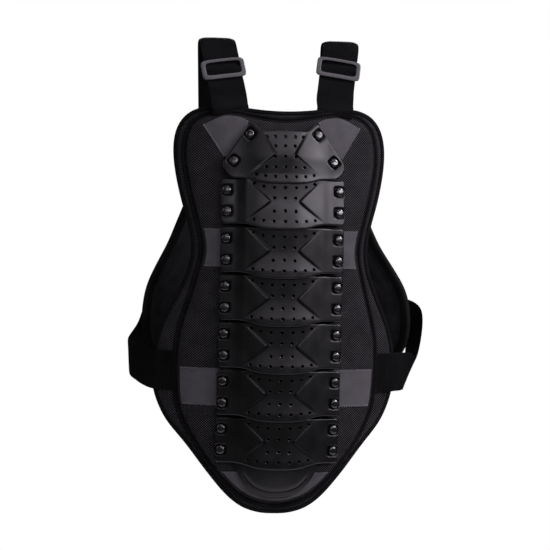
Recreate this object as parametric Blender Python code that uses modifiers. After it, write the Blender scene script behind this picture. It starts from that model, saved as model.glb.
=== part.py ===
"""A rider's back protector, in metres, +Z up.

A padded back panel carries a column of overlapping armour plates. Two shoulder straps join it to a padded
chest panel, and two side belts close on that panel's front. The armour faces -Y and the wearer stands on
the +Y side. The origin is the middle of the flat patch in the back panel's lining.
"""

import math

import bmesh
import bpy
from mathutils import Matrix, Vector

# Back panel: half width at each height, top to bottom.
OUTLINE = (
    (0.252, 0.104),
    (0.246, 0.121),
    (0.236, 0.133),
    (0.220, 0.142),
    (0.196, 0.146),
    (0.165, 0.144),
    (0.125, 0.136),
    (0.085, 0.125),
    (0.052, 0.121),
    (0.025, 0.126),
    (-0.008, 0.139),
    (-0.045, 0.156),
    (-0.080, 0.166),
    (-0.112, 0.168),
    (-0.139, 0.166),
    (-0.157, 0.161),
    (-0.184, 0.148),
    (-0.217, 0.121),
    (-0.258, 0.090),
    (-0.290, 0.062),
    (-0.306, 0.038),
    (-0.3115, 0.016),
)
# Seam line between the padded middle and the flat border: half width at each height.
SEAM = (
    (0.240, 0.105),
    (0.228, 0.121),
    (0.205, 0.129),
    (0.176, 0.130),
    (0.127, 0.121),
    (0.078, 0.109),
    (0.050, 0.106),
    (0.000, 0.117),
    (-0.036, 0.127),
    (-0.075, 0.135),
    (-0.150, 0.134),
    (-0.181, 0.125),
    (-0.2155, 0.106),
    (-0.2655, 0.071),
    (-0.295, 0.038),
    (-0.303, 0.012),
)
SEAM_TOP = ((0.0, 0.233), (0.030, 0.236), (0.060, 0.242), (0.085, 0.2435))
SEAM_BOTTOM_Z = -0.3035
NECK_DIP = 0.005
NECK_HALF = 0.060
NECK_FADE_Z = 0.200
FLAT_X = 0.030
FLAT_Z = 0.060
WRAP = 2.63
SAG_UP = 0.64
SAG_DOWN = 0.254
TAIL_CUT_Z = -0.1720
TAIL_CUT_HALF = 0.0023

# Layers of both panels, measured outwards from the lining's inner face.
SKIN = 0.0012
LAYER_GAP = 0.0005
BACK_FOAM = 0.0080
CHEST_FOAM = 0.0060
BACK_STACK = 2 * SKIN + 2 * LAYER_GAP + BACK_FOAM
CHEST_STACK = 2 * SKIN + 2 * LAYER_GAP + CHEST_FOAM
BINDING_WIDTH = 0.0032
BINDING_OVER = 0.0005
LAYER_INSET = 0.0060
PANEL_COLUMNS = 5
TRIM_RISE = 0.0008
TRIM = 0.0010
SEAM_WIDTH = 0.0090
BAND_INSET = 0.0070

# Armour plates. Each column is (x, lowest z, highest z), measured from the plate's hinge line.
PLATE_COLUMNS = (
    (0.0, -0.0700, 0.0),
    (0.030, -0.0695, 0.0),
    (0.048, -0.0665, 0.0),
    (0.062, -0.0620, 0.0),
    (0.080, -0.0620, 0.0),
    (0.0845, -0.0590, -0.0030),
    (0.086, -0.0530, -0.0090),
)
CROWN_COLUMNS = (
    (0.0, -0.0690, 0.0),
    (0.028, -0.0685, 0.0),
    (0.0395, -0.0675, 0.0045),
    (0.046, -0.0660, 0.0120),
    (0.070, -0.0610, -0.0220),
    (0.080, -0.0520, -0.0360),
    (0.084, -0.0470, -0.0420),
)
TAIL_COLUMNS = (
    (0.0, -0.0600, 0.0),
    (0.020, -0.0580, 0.0),
    (0.036, -0.0500, 0.0),
    (0.048, -0.0370, 0.0),
    (0.055, -0.0240, 0.0),
    (0.058, -0.0100, -0.0010),
)
PLATE = 0.0024
PLATE_BULGE = 0.0100
BULGE_HALF = 0.064
STANDOFF = 0.0045
SHINGLE = math.radians(3.5)
CROWN_TOP_Z = 0.2175
PLATE_TOP_Z = 0.1543
PLATE_PITCH = 0.0658
PLATE_EAR = 0.062
PLATE_COUNT = 7
TAIL_TOP_Z = -0.2270
TAIL_RISE = 0.0022

# Rivets, as (x, z) from the plate's hinge line, upper then lower.
PLATE_RIVETS = ((0.0785, -0.0170), (0.0785, -0.0465))
CROWN_RIVETS = ((0.0477, -0.0045), (0.0700, -0.0420))
RIVET_HEAD = 0.0050
RIVET_DOME = 0.0034
RIVET_SHANK = 0.0022
RIVET_CLEARANCE = 0.0005
STRIP_WIDTH = 0.0110
STRIP_GAP = 0.0010
STRIP = 0.0010
ROUND_SIDES = 8

# Shoulder straps and their three-bar sliders.
WEBBING = 0.050
STRAP = 0.0022
STRAP_FOOT = Vector((0.0727, 0.0240, 0.2554))
STRAP_HEAD = Vector((0.0875, 0.0640, 0.3420))
CROWN_RADIUS = 0.012
CROWN_GAP = 0.0006
SLIDER_ALONG = 0.62
SLIDER_SIZE = Vector((0.062, 0.030, 0.0086))
SLIDER_CHANNEL = 0.0034
SLIDER_RAIL = 0.0045
SLIDER_BAR = 0.0075

# Chest panel: half width at each height, top to bottom, and the surface that it bends round.
CHEST_OUTLINE = (
    (0.187, 0.076),
    (0.183, 0.092),
    (0.174, 0.102),
    (0.158, 0.109),
    (0.135, 0.117),
    (0.090, 0.135),
    (0.058, 0.149),
    (0.030, 0.165),
    (0.000, 0.180),
    (-0.030, 0.186),
    (-0.065, 0.186),
    (-0.095, 0.177),
    (-0.115, 0.158),
    (-0.127, 0.125),
)
CHEST_Y = 0.190
CHEST_WRAP = 3.27
CHEST_LEAN_Z = 0.060
CHEST_LEAN = 2.6
CHEST_SHIFT = 0.009

# Side belts: the band's centre line on the back panel, round the side, and on the chest panel.
BELT_WIDTH = 0.055
BELT = 0.0022
BELT_RISE = 0.0022
BELT_SEWN = ((0.140, -0.111), (0.154, -0.111), (0.166, -0.110))
BELT_SIDE = (Vector((0.193, 0.066, -0.101)), Vector((0.209, 0.092, -0.080)))
BELT_TURN = Vector((0.196, 0.115, -0.055))
BELT_ENDS = ((0.158, -0.035), (0.132, -0.025), (0.104, -0.018))
BELT_DEPTH = 0.0160
HOOK_DEPTH = 0.0124
HOOK = 0.0012
HOOK_ENDS = ((0.142, -0.029), (0.107, -0.018))
HOOK_WIDTH = 0.045
LOOP_ENDS = ((0.150, -0.032), (0.070, -0.010))
LOOP_WIDTH = 0.060
LOOP_STEPS = 6
CHEST_TRIM_RISE = 0.0010

MERGE = 0.0001
OUTWARD = 1
INWARD = -1
CENTRED = 0

COLOURS = {
    "mesh_fabric": (0.020, 0.020, 0.023, 0.85, 0.0),
    "lining": (0.030, 0.030, 0.034, 0.90, 0.0),
    "foam": (0.060, 0.060, 0.065, 0.95, 0.0),
    "binding": (0.008, 0.008, 0.009, 0.70, 0.0),
    "patch": (0.075, 0.078, 0.082, 0.85, 0.0),
    "plate": (0.014, 0.014, 0.016, 0.35, 0.0),
    "rivet": (0.010, 0.010, 0.011, 0.25, 0.0),
    "webbing": (0.010, 0.010, 0.012, 0.75, 0.0),
    "slider": (0.070, 0.072, 0.075, 0.45, 0.0),
    "hook_loop": (0.015, 0.015, 0.016, 0.95, 0.0),
}


def clear_scene():
    for obj in list(bpy.data.objects):
        bpy.data.objects.remove(obj, do_unlink=True)


def new_collection(name):
    made = bpy.data.collections.new(name)
    bpy.context.scene.collection.children.link(made)
    return made


def finish(name):
    """The material of this name, made on first use."""
    if name in bpy.data.materials:
        return bpy.data.materials[name]
    red, green, blue, roughness, metallic = COLOURS[name]
    made = bpy.data.materials.new(name)
    made.use_nodes = True
    shader = made.node_tree.nodes["Principled BSDF"]
    shader.inputs["Base Color"].default_value = (red, green, blue, 1.0)
    shader.inputs["Roughness"].default_value = roughness
    shader.inputs["Metallic"].default_value = metallic
    made.diffuse_color = (red, green, blue, 1.0)
    return made


def add_object(name, bm, material=None):
    """Turn a bmesh into a part, or into a hidden cutter when it has no material."""
    mesh = bpy.data.meshes.new(name)
    bm.to_mesh(mesh)
    bm.free()
    obj = bpy.data.objects.new(name, mesh)
    if material is None:
        cutters.objects.link(obj)
        obj.hide_render = True
        obj.display_type = "WIRE"
    else:
        parts.objects.link(obj)
        mesh.materials.append(finish(material))
        mesh.shade_smooth()
    return obj


def boolean(obj, helper, operation):
    made = obj.modifiers.new(operation.title(), "BOOLEAN")
    made.operation = operation
    made.object = helper
    made.solver = "EXACT"


def add_sheet(name, columns, rows, place, thickness, side, material, mirrored=True):
    """A sheet of even thickness whose grid points come from place(across, along), each from 0 to 1."""
    bm = bmesh.new()
    bmesh.ops.create_grid(bm, x_segments=columns, y_segments=rows, size=1)
    for vertex in bm.verts:
        vertex.co = place((vertex.co.x + 1) / 2, (vertex.co.y + 1) / 2)
    obj = add_object(name, bm, material)
    if mirrored:
        mirror = obj.modifiers.new("Mirror", "MIRROR")
        mirror.merge_threshold = MERGE
    solidify = obj.modifiers.new("Solidify", "SOLIDIFY")
    solidify.thickness = thickness
    solidify.offset = side
    return obj


def smooth(knots, at):
    """Read the smooth curve through (position, value) knots, whose positions fall."""
    last = len(knots) - 2
    i = min(max(sum(at < position for position, _ in knots) - 1, 0), last)
    (start, low), (end, high) = knots[i : i + 2]
    before = knots[max(i - 1, 0)]
    after = knots[min(i + 2, last + 1)]
    span = end - start
    leaving = span * (high - before[1]) / (end - before[0])
    arriving = span * (after[1] - low) / (after[0] - start)
    u = (at - start) / span
    ease = u * u * (3 - 2 * u)
    return low + (high - low) * ease + leaving * u * (1 - u) ** 2 - arriving * u * u * (1 - u)


def through(points, steps):
    """Points along the smooth curve through 3-D points, with this many steps between two of them."""
    found = []
    count = len(points)
    axes = [[(-i, point[axis]) for i, point in enumerate(points)] for axis in range(3)]
    for i in range((count - 1) * steps + 1):
        found.append(Vector([smooth(knots, -i / steps) for knots in axes]))
    return found


def half_width(outline, z, inset):
    """The outline's half width at a height, drawn in by this much square to its edge."""
    step = 0.5 * MERGE
    slope = (smooth(outline, z + step) - smooth(outline, z - step)) / (2 * step)
    return smooth(outline, z) - inset * math.hypot(1.0, slope)


# Surfaces


def wrap(x):
    return WRAP * max(abs(x) - FLAT_X, 0.0) ** 2


def wrap_slope(x):
    return math.copysign(2 * WRAP * max(abs(x) - FLAT_X, 0.0), x)


def back_point(x, z, depth):
    """A point this deep outside the back lining's inner face."""
    above = max(z - FLAT_Z, 0.0)
    below = max(-z - FLAT_Z, 0.0)
    outward = Vector((wrap_slope(x), -1.0, 2 * SAG_UP * above - 2 * SAG_DOWN * below)).normalized()
    return Vector((x, wrap(x) + SAG_UP * above**2 + SAG_DOWN * below**2, z)) + outward * depth


def chest_point(x, z, depth):
    """A point this deep outside the chest lining's inner face, before the panel's sideways shift."""
    above = max(z - CHEST_LEAN_Z, 0.0)
    outward = Vector((2 * CHEST_WRAP * x, 1.0, 2 * CHEST_LEAN * above)).normalized()
    return Vector((x, CHEST_Y - CHEST_WRAP * x * x - CHEST_LEAN * above**2, z)) + outward * depth


def neck_drop(x, z):
    """How far the neckline pulls a point of the back panel down."""
    fade = min(max((z - NECK_FADE_Z) / (OUTLINE[0][0] - NECK_FADE_Z), 0.0), 1.0)
    return NECK_DIP * fade * max(1 - (x / NECK_HALF) ** 2, 0.0)


def eased(top, bottom, along, top_power, bottom_power):
    """Heights from bottom to top that crowd together at an end whose power is over 1."""
    share = (1 - along) * along**bottom_power + along * (1 - (1 - along) ** top_power)
    return bottom + (top - bottom) * share


# Panels


def panel_place(outline, point, depth, top, bottom, powers):
    """Grid points of one layer: across runs from the middle to the edge, and along from bottom to top."""

    def place(across, along):
        z = eased(top, bottom, along, *powers)
        x = across * half_width(outline, z, LAYER_INSET)
        return point(x, z, depth)

    return place


def back_layer_point(x, z, depth):
    return back_point(x, z - neck_drop(x, z), depth)


def add_layers(prefix, outline, point, foam, spans, side, location=(0, 0, 0)):
    """The lining, foam and cover of one panel piece."""
    top, bottom, rows, powers = spans
    foam_depth = SKIN + LAYER_GAP
    cover_depth = foam_depth + foam + LAYER_GAP
    for layer, depth, thickness, material in (
        ("liner", 0.0, SKIN, "lining"),
        ("foam", foam_depth, foam, "foam"),
        ("cover", cover_depth, SKIN, "mesh_fabric"),
    ):
        place = panel_place(outline, point, depth, top, bottom, powers)
        obj = add_sheet(f"{prefix}_{layer}", PANEL_COLUMNS, rows, place, thickness, side, material)
        obj.location = location


def outline_path(outline, heights, inset):
    return [(half_width(outline, z, inset), z) for z in heights]


def row_heights(spans):
    """The heights of a layer's grid rows, from top to bottom."""
    top, bottom, rows, powers = spans
    return [eased(top, bottom, 1 - row / rows, *powers) for row in range(rows + 1)]


def edge_columns(outline, z):
    """Where a layer's grid columns meet its level edge, from the middle out."""
    half = half_width(outline, z, LAYER_INSET)
    return [half * column / PANEL_COLUMNS for column in range(PANEL_COLUMNS)]


def add_trim(name, path, width, point, depth, thickness, side, material, mirrored=True, location=(0, 0, 0)):
    """A flat strip on a panel's surface. Its (x, z) path runs clockwise, so the strip's first side is outside."""

    def place(across, along):
        i = round(along * (len(path) - 1))
        x, z = path[i]
        behind = path[max(i - 1, 0)]
        ahead = path[min(i + 1, len(path) - 1)]
        heading = Vector((ahead[0] - behind[0], ahead[1] - behind[1]))
        if mirrored and i in (0, len(path) - 1):
            heading = Vector((heading.x, 0.0)) if x == 0 else Vector((0.0, heading.y))
        heading.normalize()
        reach = (across - 0.5) * width
        return point(x + heading.y * reach, z - heading.x * reach, depth)

    obj = add_sheet(name, 1, len(path) - 1, place, thickness, side, material, mirrored)
    obj.location = location
    return obj


def spread(top, bottom, count):
    return [top + (bottom - top) * i / count for i in range(count + 1)]


def back_spans():
    """The grid rows of the back panel's layers above and below the tail cut."""
    top = OUTLINE[0][0] - LAYER_INSET
    bottom = OUTLINE[-1][0] + LAYER_INSET
    upper = (top, TAIL_CUT_Z + TAIL_CUT_HALF, 14, (2.0, 1.0))
    lower = (TAIL_CUT_Z - TAIL_CUT_HALF, bottom, 5, (1.0, 1.6))
    return upper, lower


def back_rim_paths():
    """Centre lines of the back binding above and below the tail cut."""
    inset = BINDING_WIDTH / 2
    top = OUTLINE[0][0] - inset
    upper, lower = (row_heights(spans) for spans in back_spans())
    neckline = [(x, top - neck_drop(x, top)) for x in edge_columns(OUTLINE, upper[0])]
    side = outline_path(OUTLINE, [top] + upper[1:], inset)
    tail = outline_path(OUTLINE, lower[:-1], inset)
    hem_z = OUTLINE[-1][0] + inset
    tip = [(smooth(OUTLINE, hem_z + inset), hem_z), (0.0, hem_z)]
    return neckline + side, tail + tip


def seam_paths():
    """Centre lines of the seam tape above and below the tail cut."""
    shoulder = outline_path(SEAM, (0.240, 0.230, 0.212), 0.0)
    side = outline_path(SEAM, spread(0.185, TAIL_CUT_Z + TAIL_CUT_HALF, 12), 0.0)
    tail = outline_path(SEAM, spread(TAIL_CUT_Z - TAIL_CUT_HALF, -0.290, 5), 0.0)
    tip = outline_path(SEAM, (-0.2995,), 0.0)
    return list(SEAM_TOP) + shoulder + side, tail + tip + [(0.0, SEAM_BOTTOM_Z)]


def add_back_panel():
    upper, lower = back_spans()
    add_layers("back", OUTLINE, back_layer_point, BACK_FOAM, upper, OUTWARD)
    add_layers("tail", OUTLINE, back_layer_point, BACK_FOAM, lower, OUTWARD)
    thickness = BACK_STACK + 2 * BINDING_OVER
    for prefix, path in zip(("back", "tail"), back_rim_paths()):
        add_trim(f"{prefix}_binding", path, BINDING_WIDTH, back_point, -BINDING_OVER, thickness, OUTWARD, "binding")
    for prefix, path in zip(("back", "tail"), seam_paths()):
        depth = BACK_STACK + TRIM_RISE
        add_trim(f"{prefix}_seam_tape", path, SEAM_WIDTH, back_point, depth, TRIM, OUTWARD, "binding")


def add_band(name, top, bottom, rows):
    """A patch of smooth cloth across the padded middle, under the plates, from seam to seam."""

    def place(across, along):
        z = bottom + (top - bottom) * along
        x = across * half_width(SEAM, z, BAND_INSET)
        return back_point(x, z, BACK_STACK + TRIM_RISE)

    add_sheet(name, 6, rows, place, TRIM, OUTWARD, "patch")


def add_shoulder_patches():
    """A patch under each strap's foot that narrows towards the top plate and runs under it."""
    top = (Vector((0.048, 0.230)), Vector((0.074, 0.2375)), Vector((0.106, 0.224)))
    foot = (Vector((0.058, 0.182)), Vector((0.071, 0.182)), Vector((0.084, 0.182)))

    def place(across, along, side):
        i = round(across * 2)
        x, z = foot[i].lerp(top[i], along)
        return back_point(side * x, z, BACK_STACK + TRIM_RISE)

    for name, side in (("left", -1), ("right", 1)):
        add_sheet(
            f"shoulder_patch_{name}",
            2,
            3,
            lambda across, along, side=side: place(across if side > 0 else 1 - across, along, side),
            TRIM,
            OUTWARD,
            "patch",
            mirrored=False,
        )


# Plates and rivets


def plate_frame(top):
    """The matrix that stands a plate on the cover, with its foot raised over the next plate."""
    upper = back_point(0.0, top, BACK_STACK)
    lower = back_point(0.0, top - PLATE_EAR, BACK_STACK)
    lean = math.atan2(lower.y - upper.y, upper.z - lower.z) - SHINGLE
    return Matrix.Translation(upper - Vector((0.0, STANDOFF, 0.0))) @ Matrix.Rotation(lean, 4, "X")


def plate_y(x):
    """The plates' cross-section: bent round the back, with a middle that stands off it."""
    return wrap(x) - PLATE_BULGE * max(1 - (x / BULGE_HALF) ** 2, 0.0) ** 2


def plate_slope(x):
    return wrap_slope(x) + 4 * PLATE_BULGE * x / BULGE_HALF**2 * max(1 - (x / BULGE_HALF) ** 2, 0.0)


def add_plate(name, columns, frame, foot_bulges=True):
    def place(across, along):
        x, low, high = columns[round(across * (len(columns) - 1))]
        share = 1.0 if foot_bulges else 1 - (1 - along) ** 2
        return Vector((x, wrap(x) + (plate_y(x) - wrap(x)) * share, low + (high - low) * along))

    obj = add_sheet(name, len(columns) - 1, 3, place, PLATE, OUTWARD, "plate")
    obj.matrix_world = frame
    return obj


def rivet_frame(rivets, side):
    """Axes of a rivet pair in its plate's frame: X from the lower rivet to the upper, and Z outwards."""
    upper, lower = (Vector((side * x, plate_y(x), z)) for x, z in rivets)
    middle = (upper + lower) / 2
    outward = Vector((plate_slope(middle.x), -1.0, 0.0)).normalized()
    along = (upper - lower) - outward * (upper - lower).dot(outward)
    along.normalize()
    return Matrix.Translation(middle) @ Matrix((along, outward.cross(along), outward)).transposed().to_4x4()


def rivet_places(rivets):
    (upper_x, upper_z), (lower_x, lower_z) = rivets
    half = math.hypot(upper_x - lower_x, upper_z - lower_z) / 2
    return (-half, half)


def rivet_hole_cutter(name, rivets, frame):
    bm = bmesh.new()
    for side in (-1, 1):
        for reach in rivet_places(rivets):
            matrix = rivet_frame(rivets, side) @ Matrix.Translation((reach, 0.0, PLATE / 2))
            radius = RIVET_SHANK + RIVET_CLEARANCE
            bmesh.ops.create_cone(
                bm,
                cap_ends=True,
                segments=ROUND_SIDES,
                radius1=radius,
                radius2=radius,
                depth=4 * PLATE,
                matrix=matrix,
            )
    cutter = add_object(name, bm)
    cutter.matrix_world = frame
    return cutter


def turned(profile):
    """A closed mesh turned from a (radius, height) profile that starts and ends on the axis."""
    bm = bmesh.new()
    ends = [bm.verts.new((radius, 0.0, height)) for radius, height in profile]
    edges = [bm.edges.new(pair) for pair in zip(ends, ends[1:])]
    bmesh.ops.spin(bm, geom=ends + edges, axis=(0, 0, 1), cent=(0, 0, 0), angle=2 * math.pi, steps=ROUND_SIDES)
    bmesh.ops.remove_doubles(bm, verts=bm.verts, dist=MERGE / 10)
    bmesh.ops.recalc_face_normals(bm, faces=bm.faces)
    mesh = bpy.data.meshes.new("turned")
    bm.to_mesh(mesh)
    bm.free()
    return mesh


def add_rivet_pair(name, rivets, side, frame):
    """Two domed rivets and the backing strip under the plate that joins them."""
    half = rivet_places(rivets)[1]
    axes = rivet_frame(rivets, side)
    strip = bmesh.new()
    size = Matrix.Diagonal((2 * half + STRIP_WIDTH, STRIP_WIDTH, STRIP, 1.0))
    lift = Matrix.Translation((0.0, 0.0, -STRIP_GAP - STRIP / 2))
    bmesh.ops.create_cube(strip, size=1.0, matrix=axes @ lift @ size)
    seat = PLATE + RIVET_CLEARANCE
    profile = (
        (0.0, seat + RIVET_DOME),
        (0.62 * RIVET_HEAD, seat + 0.80 * RIVET_DOME),
        (RIVET_HEAD, seat + 0.15 * RIVET_DOME),
        (RIVET_HEAD, seat),
        (RIVET_SHANK, seat),
        (RIVET_SHANK, -STRIP_GAP - STRIP / 2),
        (0.0, -STRIP_GAP - STRIP / 2),
    )
    rivet_bodies = bmesh.new()
    for reach in rivet_places(rivets):
        mesh = turned(profile)
        mesh.transform(axes @ Matrix.Translation((reach, 0.0, 0.0)))
        rivet_bodies.from_mesh(mesh)
    helper = add_object(f"{name}_bodies", rivet_bodies)
    helper.matrix_world = frame
    obj = add_object(name, strip, "rivet")
    obj.matrix_world = frame
    boolean(obj, helper, "UNION")


def add_plates():
    for number in range(1, PLATE_COUNT + 1):
        crown = number == 1
        top = CROWN_TOP_Z if crown else PLATE_TOP_Z - PLATE_PITCH * (number - 2)
        columns = CROWN_COLUMNS if crown else PLATE_COLUMNS
        rivets = CROWN_RIVETS if crown else PLATE_RIVETS
        frame = plate_frame(top)
        plate = add_plate(f"plate_{number}", columns, frame)
        boolean(plate, rivet_hole_cutter(f"plate_{number}_holes", rivets, frame), "DIFFERENCE")
        for name, side in (("left", -1), ("right", 1)):
            add_rivet_pair(f"rivets_{number}_{name}", rivets, side, frame)


def add_tail_plate():
    """The last plate, whose foot is sewn flat on the tail patch and whose top edge lies under the plate above."""
    upper = back_point(0.0, TAIL_TOP_Z, BACK_STACK)
    lower = back_point(0.0, TAIL_TOP_Z - PLATE_EAR, BACK_STACK)
    lean = math.atan2(lower.y - upper.y, upper.z - lower.z)
    frame = Matrix.Translation(upper - Vector((0.0, TAIL_RISE, 0.0))) @ Matrix.Rotation(lean, 4, "X")
    add_plate("tail_plate", TAIL_COLUMNS, frame, foot_bulges=False)


# Straps, sliders and belts


def add_ribbon(name, path, width, thickness, upright, material, location=(0, 0, 0)):
    """Webbing along a 3-D path. It stands across the path when upright, and lies along X when not."""

    def place(across, along):
        i = round(along * (len(path) - 1))
        side = Vector((1.0, 0.0, 0.0))
        if upright:
            heading = (path[min(i + 1, len(path) - 1)] - path[max(i - 1, 0)]).normalized()
            side = Vector((0.0, 0.0, 1.0)) - heading * heading.z
            side.normalize()
        return path[i] + side * (across - 0.5) * width

    obj = add_sheet(name, 1, len(path) - 1, place, thickness, CENTRED, material, mirrored=False)
    obj.location = location
    return obj


def strap_lean():
    """The strap's direction in the YZ plane, up and towards the wearer."""
    run = STRAP_HEAD - STRAP_FOOT
    return Vector((0.0, run.y, run.z)).normalized()


def crown_point(degrees):
    """A point on the strap's turn over the shoulder, by the angle turned from its straight part."""
    up = strap_lean()
    forward = Vector((0.0, up.z, -up.y))
    angle = math.radians(degrees)
    centre = STRAP_HEAD + forward * CROWN_RADIUS
    return centre + (up * math.sin(angle) - forward * math.cos(angle)) * CROWN_RADIUS


def on_side(point, side, shift=0.0):
    return Vector((side * point.x + shift, point.y, point.z))


def add_straps():
    gap_angle = math.degrees(CROWN_GAP / CROWN_RADIUS)
    chest_foot = chest_point(0.080, CHEST_OUTLINE[0][0], CHEST_STACK / 2)
    chest_foot.z += 0.0025
    for name, side in (("left", -1), ("right", 1)):
        rear = [STRAP_FOOT, STRAP_FOOT.lerp(STRAP_HEAD, 0.5), STRAP_HEAD]
        rear += [crown_point(angle) for angle in (30, 60, 90 - gap_angle)]
        add_ribbon(f"shoulder_strap_back_{name}", [on_side(p, side) for p in rear], WEBBING, STRAP, False, "webbing")
        front = [on_side(crown_point(angle), side) for angle in (90 + gap_angle, 112, 134)]
        foot = on_side(chest_foot, side, CHEST_SHIFT)
        front += [front[-1].lerp(foot, share) for share in (0.33, 0.67, 1.0)]
        add_ribbon(f"shoulder_strap_front_{name}", front, WEBBING, STRAP, False, "webbing")


def box_cutter(name, size, centre, frame):
    bm = bmesh.new()
    bmesh.ops.create_cube(bm, size=1.0, matrix=Matrix.Translation(centre) @ Matrix.Diagonal((*size, 1.0)))
    cutter = add_object(name, bm)
    cutter.matrix_world = frame
    return cutter


def add_sliders():
    """Three-bar sliders: the outer bars pass in front of the strap and the middle bar behind it."""
    for name, side in (("left", -1), ("right", 1)):
        foot = on_side(STRAP_FOOT, side)
        head = on_side(STRAP_HEAD, side)
        along = (head - foot).normalized()
        outward = along.cross(Vector((-1.0, 0.0, 0.0))).normalized()
        frame = Matrix((along.cross(outward), along, outward)).transposed().to_4x4()
        frame.translation = foot.lerp(head, SLIDER_ALONG)
        bm = bmesh.new()
        bmesh.ops.create_cube(bm, size=1.0, matrix=Matrix.Diagonal((*SLIDER_SIZE, 1.0)))
        slider = add_object(f"strap_slider_{name}", bm, "slider")
        slider.matrix_world = frame
        opening = SLIDER_SIZE.x - 2 * SLIDER_RAIL
        window = SLIDER_SIZE.y - 2 * SLIDER_BAR
        reach = SLIDER_SIZE.z
        middle = SLIDER_BAR / 2 + reach / 2
        cuts = {
            "channel": ((opening, 2 * SLIDER_SIZE.y, SLIDER_CHANNEL), (0, 0, 0)),
            "window": ((opening, window, reach), (0, 0, reach / 2)),
            "slot_above": ((opening, reach + SLIDER_SIZE.y / 4, reach), (0, middle + SLIDER_SIZE.y / 8, -reach / 2)),
            "slot_below": ((opening, reach + SLIDER_SIZE.y / 4, reach), (0, -middle - SLIDER_SIZE.y / 8, -reach / 2)),
        }
        for cut, (size, centre) in cuts.items():
            boolean(slider, box_cutter(f"slider_{name}_{cut}", size, centre, frame), "DIFFERENCE")


def add_belts():
    rear_depth = BACK_STACK + BELT_RISE + BELT / 2
    sewn = [back_point(x, z, rear_depth) for x, z in BELT_SEWN]
    ends = [chest_point(x, z, BELT_DEPTH) for x, z in BELT_ENDS]
    for name, side in (("left", -1), ("right", 1)):
        rear = [on_side(p, side) for p in sewn]
        rear += [on_side(BELT_SIDE[0], side, CHEST_SHIFT / 2), on_side(BELT_SIDE[1], side, CHEST_SHIFT)]
        front = [on_side(p, side, CHEST_SHIFT) for p in (BELT_TURN, *ends)]
        whole = through(rear + front, 2)
        split = 2 * (len(rear) - 1)
        fold = whole[split]
        back_end = fold.lerp(whole[split - 1], 0.06)
        front_end = fold.lerp(whole[split + 1], 0.06)
        add_ribbon(f"belt_rear_{name}", whole[:split] + [back_end], BELT_WIDTH, BELT, True, "webbing")
        add_ribbon(f"belt_front_{name}", [front_end] + whole[split + 1 :], BELT_WIDTH, BELT, True, "webbing")
    add_belt_patches("hook_pad", HOOK_ENDS, HOOK_WIDTH, HOOK_DEPTH, HOOK)
    add_belt_patches("loop_patch", LOOP_ENDS, LOOP_WIDTH, CHEST_STACK + CHEST_TRIM_RISE, TRIM)


def add_belt_patches(prefix, ends, width, depth, thickness):
    """Hook or loop cloth where the belts close on the chest panel."""
    (outer_x, outer_z), (inner_x, inner_z) = ends
    path = list(zip(spread(outer_x, inner_x, LOOP_STEPS), spread(outer_z, inner_z, LOOP_STEPS)))
    for name, side in (("left", -1), ("right", 1)):
        points = [(side * x, z) for x, z in path]
        add_trim(
            f"{prefix}_{name}",
            points,
            width,
            chest_point,
            depth,
            thickness,
            INWARD,
            "hook_loop",
            mirrored=False,
            location=(CHEST_SHIFT, 0, 0),
        )


# Chest panel


def add_chest_panel():
    top = CHEST_OUTLINE[0][0]
    bottom = CHEST_OUTLINE[-1][0]
    location = (CHEST_SHIFT, 0, 0)
    spans = (top - LAYER_INSET, bottom + LAYER_INSET, 12, (1.7, 1.7))
    add_layers("chest", CHEST_OUTLINE, chest_point, CHEST_FOAM, spans, INWARD, location)
    inset = BINDING_WIDTH / 2
    heights = row_heights(spans)
    neckline = [(x, top - inset) for x in edge_columns(CHEST_OUTLINE, heights[0])]
    corner = [top - inset, (top - inset + heights[1]) / 2]
    side = outline_path(CHEST_OUTLINE, corner + heights[1:-1] + [bottom + inset], inset)
    hem = [(x, bottom + inset) for x in reversed(edge_columns(CHEST_OUTLINE, heights[-1]))]
    thickness = CHEST_STACK + 2 * BINDING_OVER
    add_trim(
        "chest_binding",
        neckline + side + hem,
        BINDING_WIDTH,
        chest_point,
        -BINDING_OVER,
        thickness,
        INWARD,
        "binding",
        location=location,
    )


clear_scene()
parts = new_collection("back_protector")
cutters = new_collection("cutters")
add_back_panel()
add_band("waist_band", 0.0834, 0.0320, 2)
add_band("hip_band", -0.1090, -0.1600, 2)
add_band("tail_patch", -0.2520, -0.2920, 3)
add_shoulder_patches()
add_plates()
add_tail_plate()
add_straps()
add_sliders()
add_belts()
add_chest_panel()
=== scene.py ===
"""The looks of a rider's back protector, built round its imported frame. Metres, +Z up, the armour faces -Y."""

import math

import bmesh
import bpy
import numpy as np
from mathutils import Matrix, Vector


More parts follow.
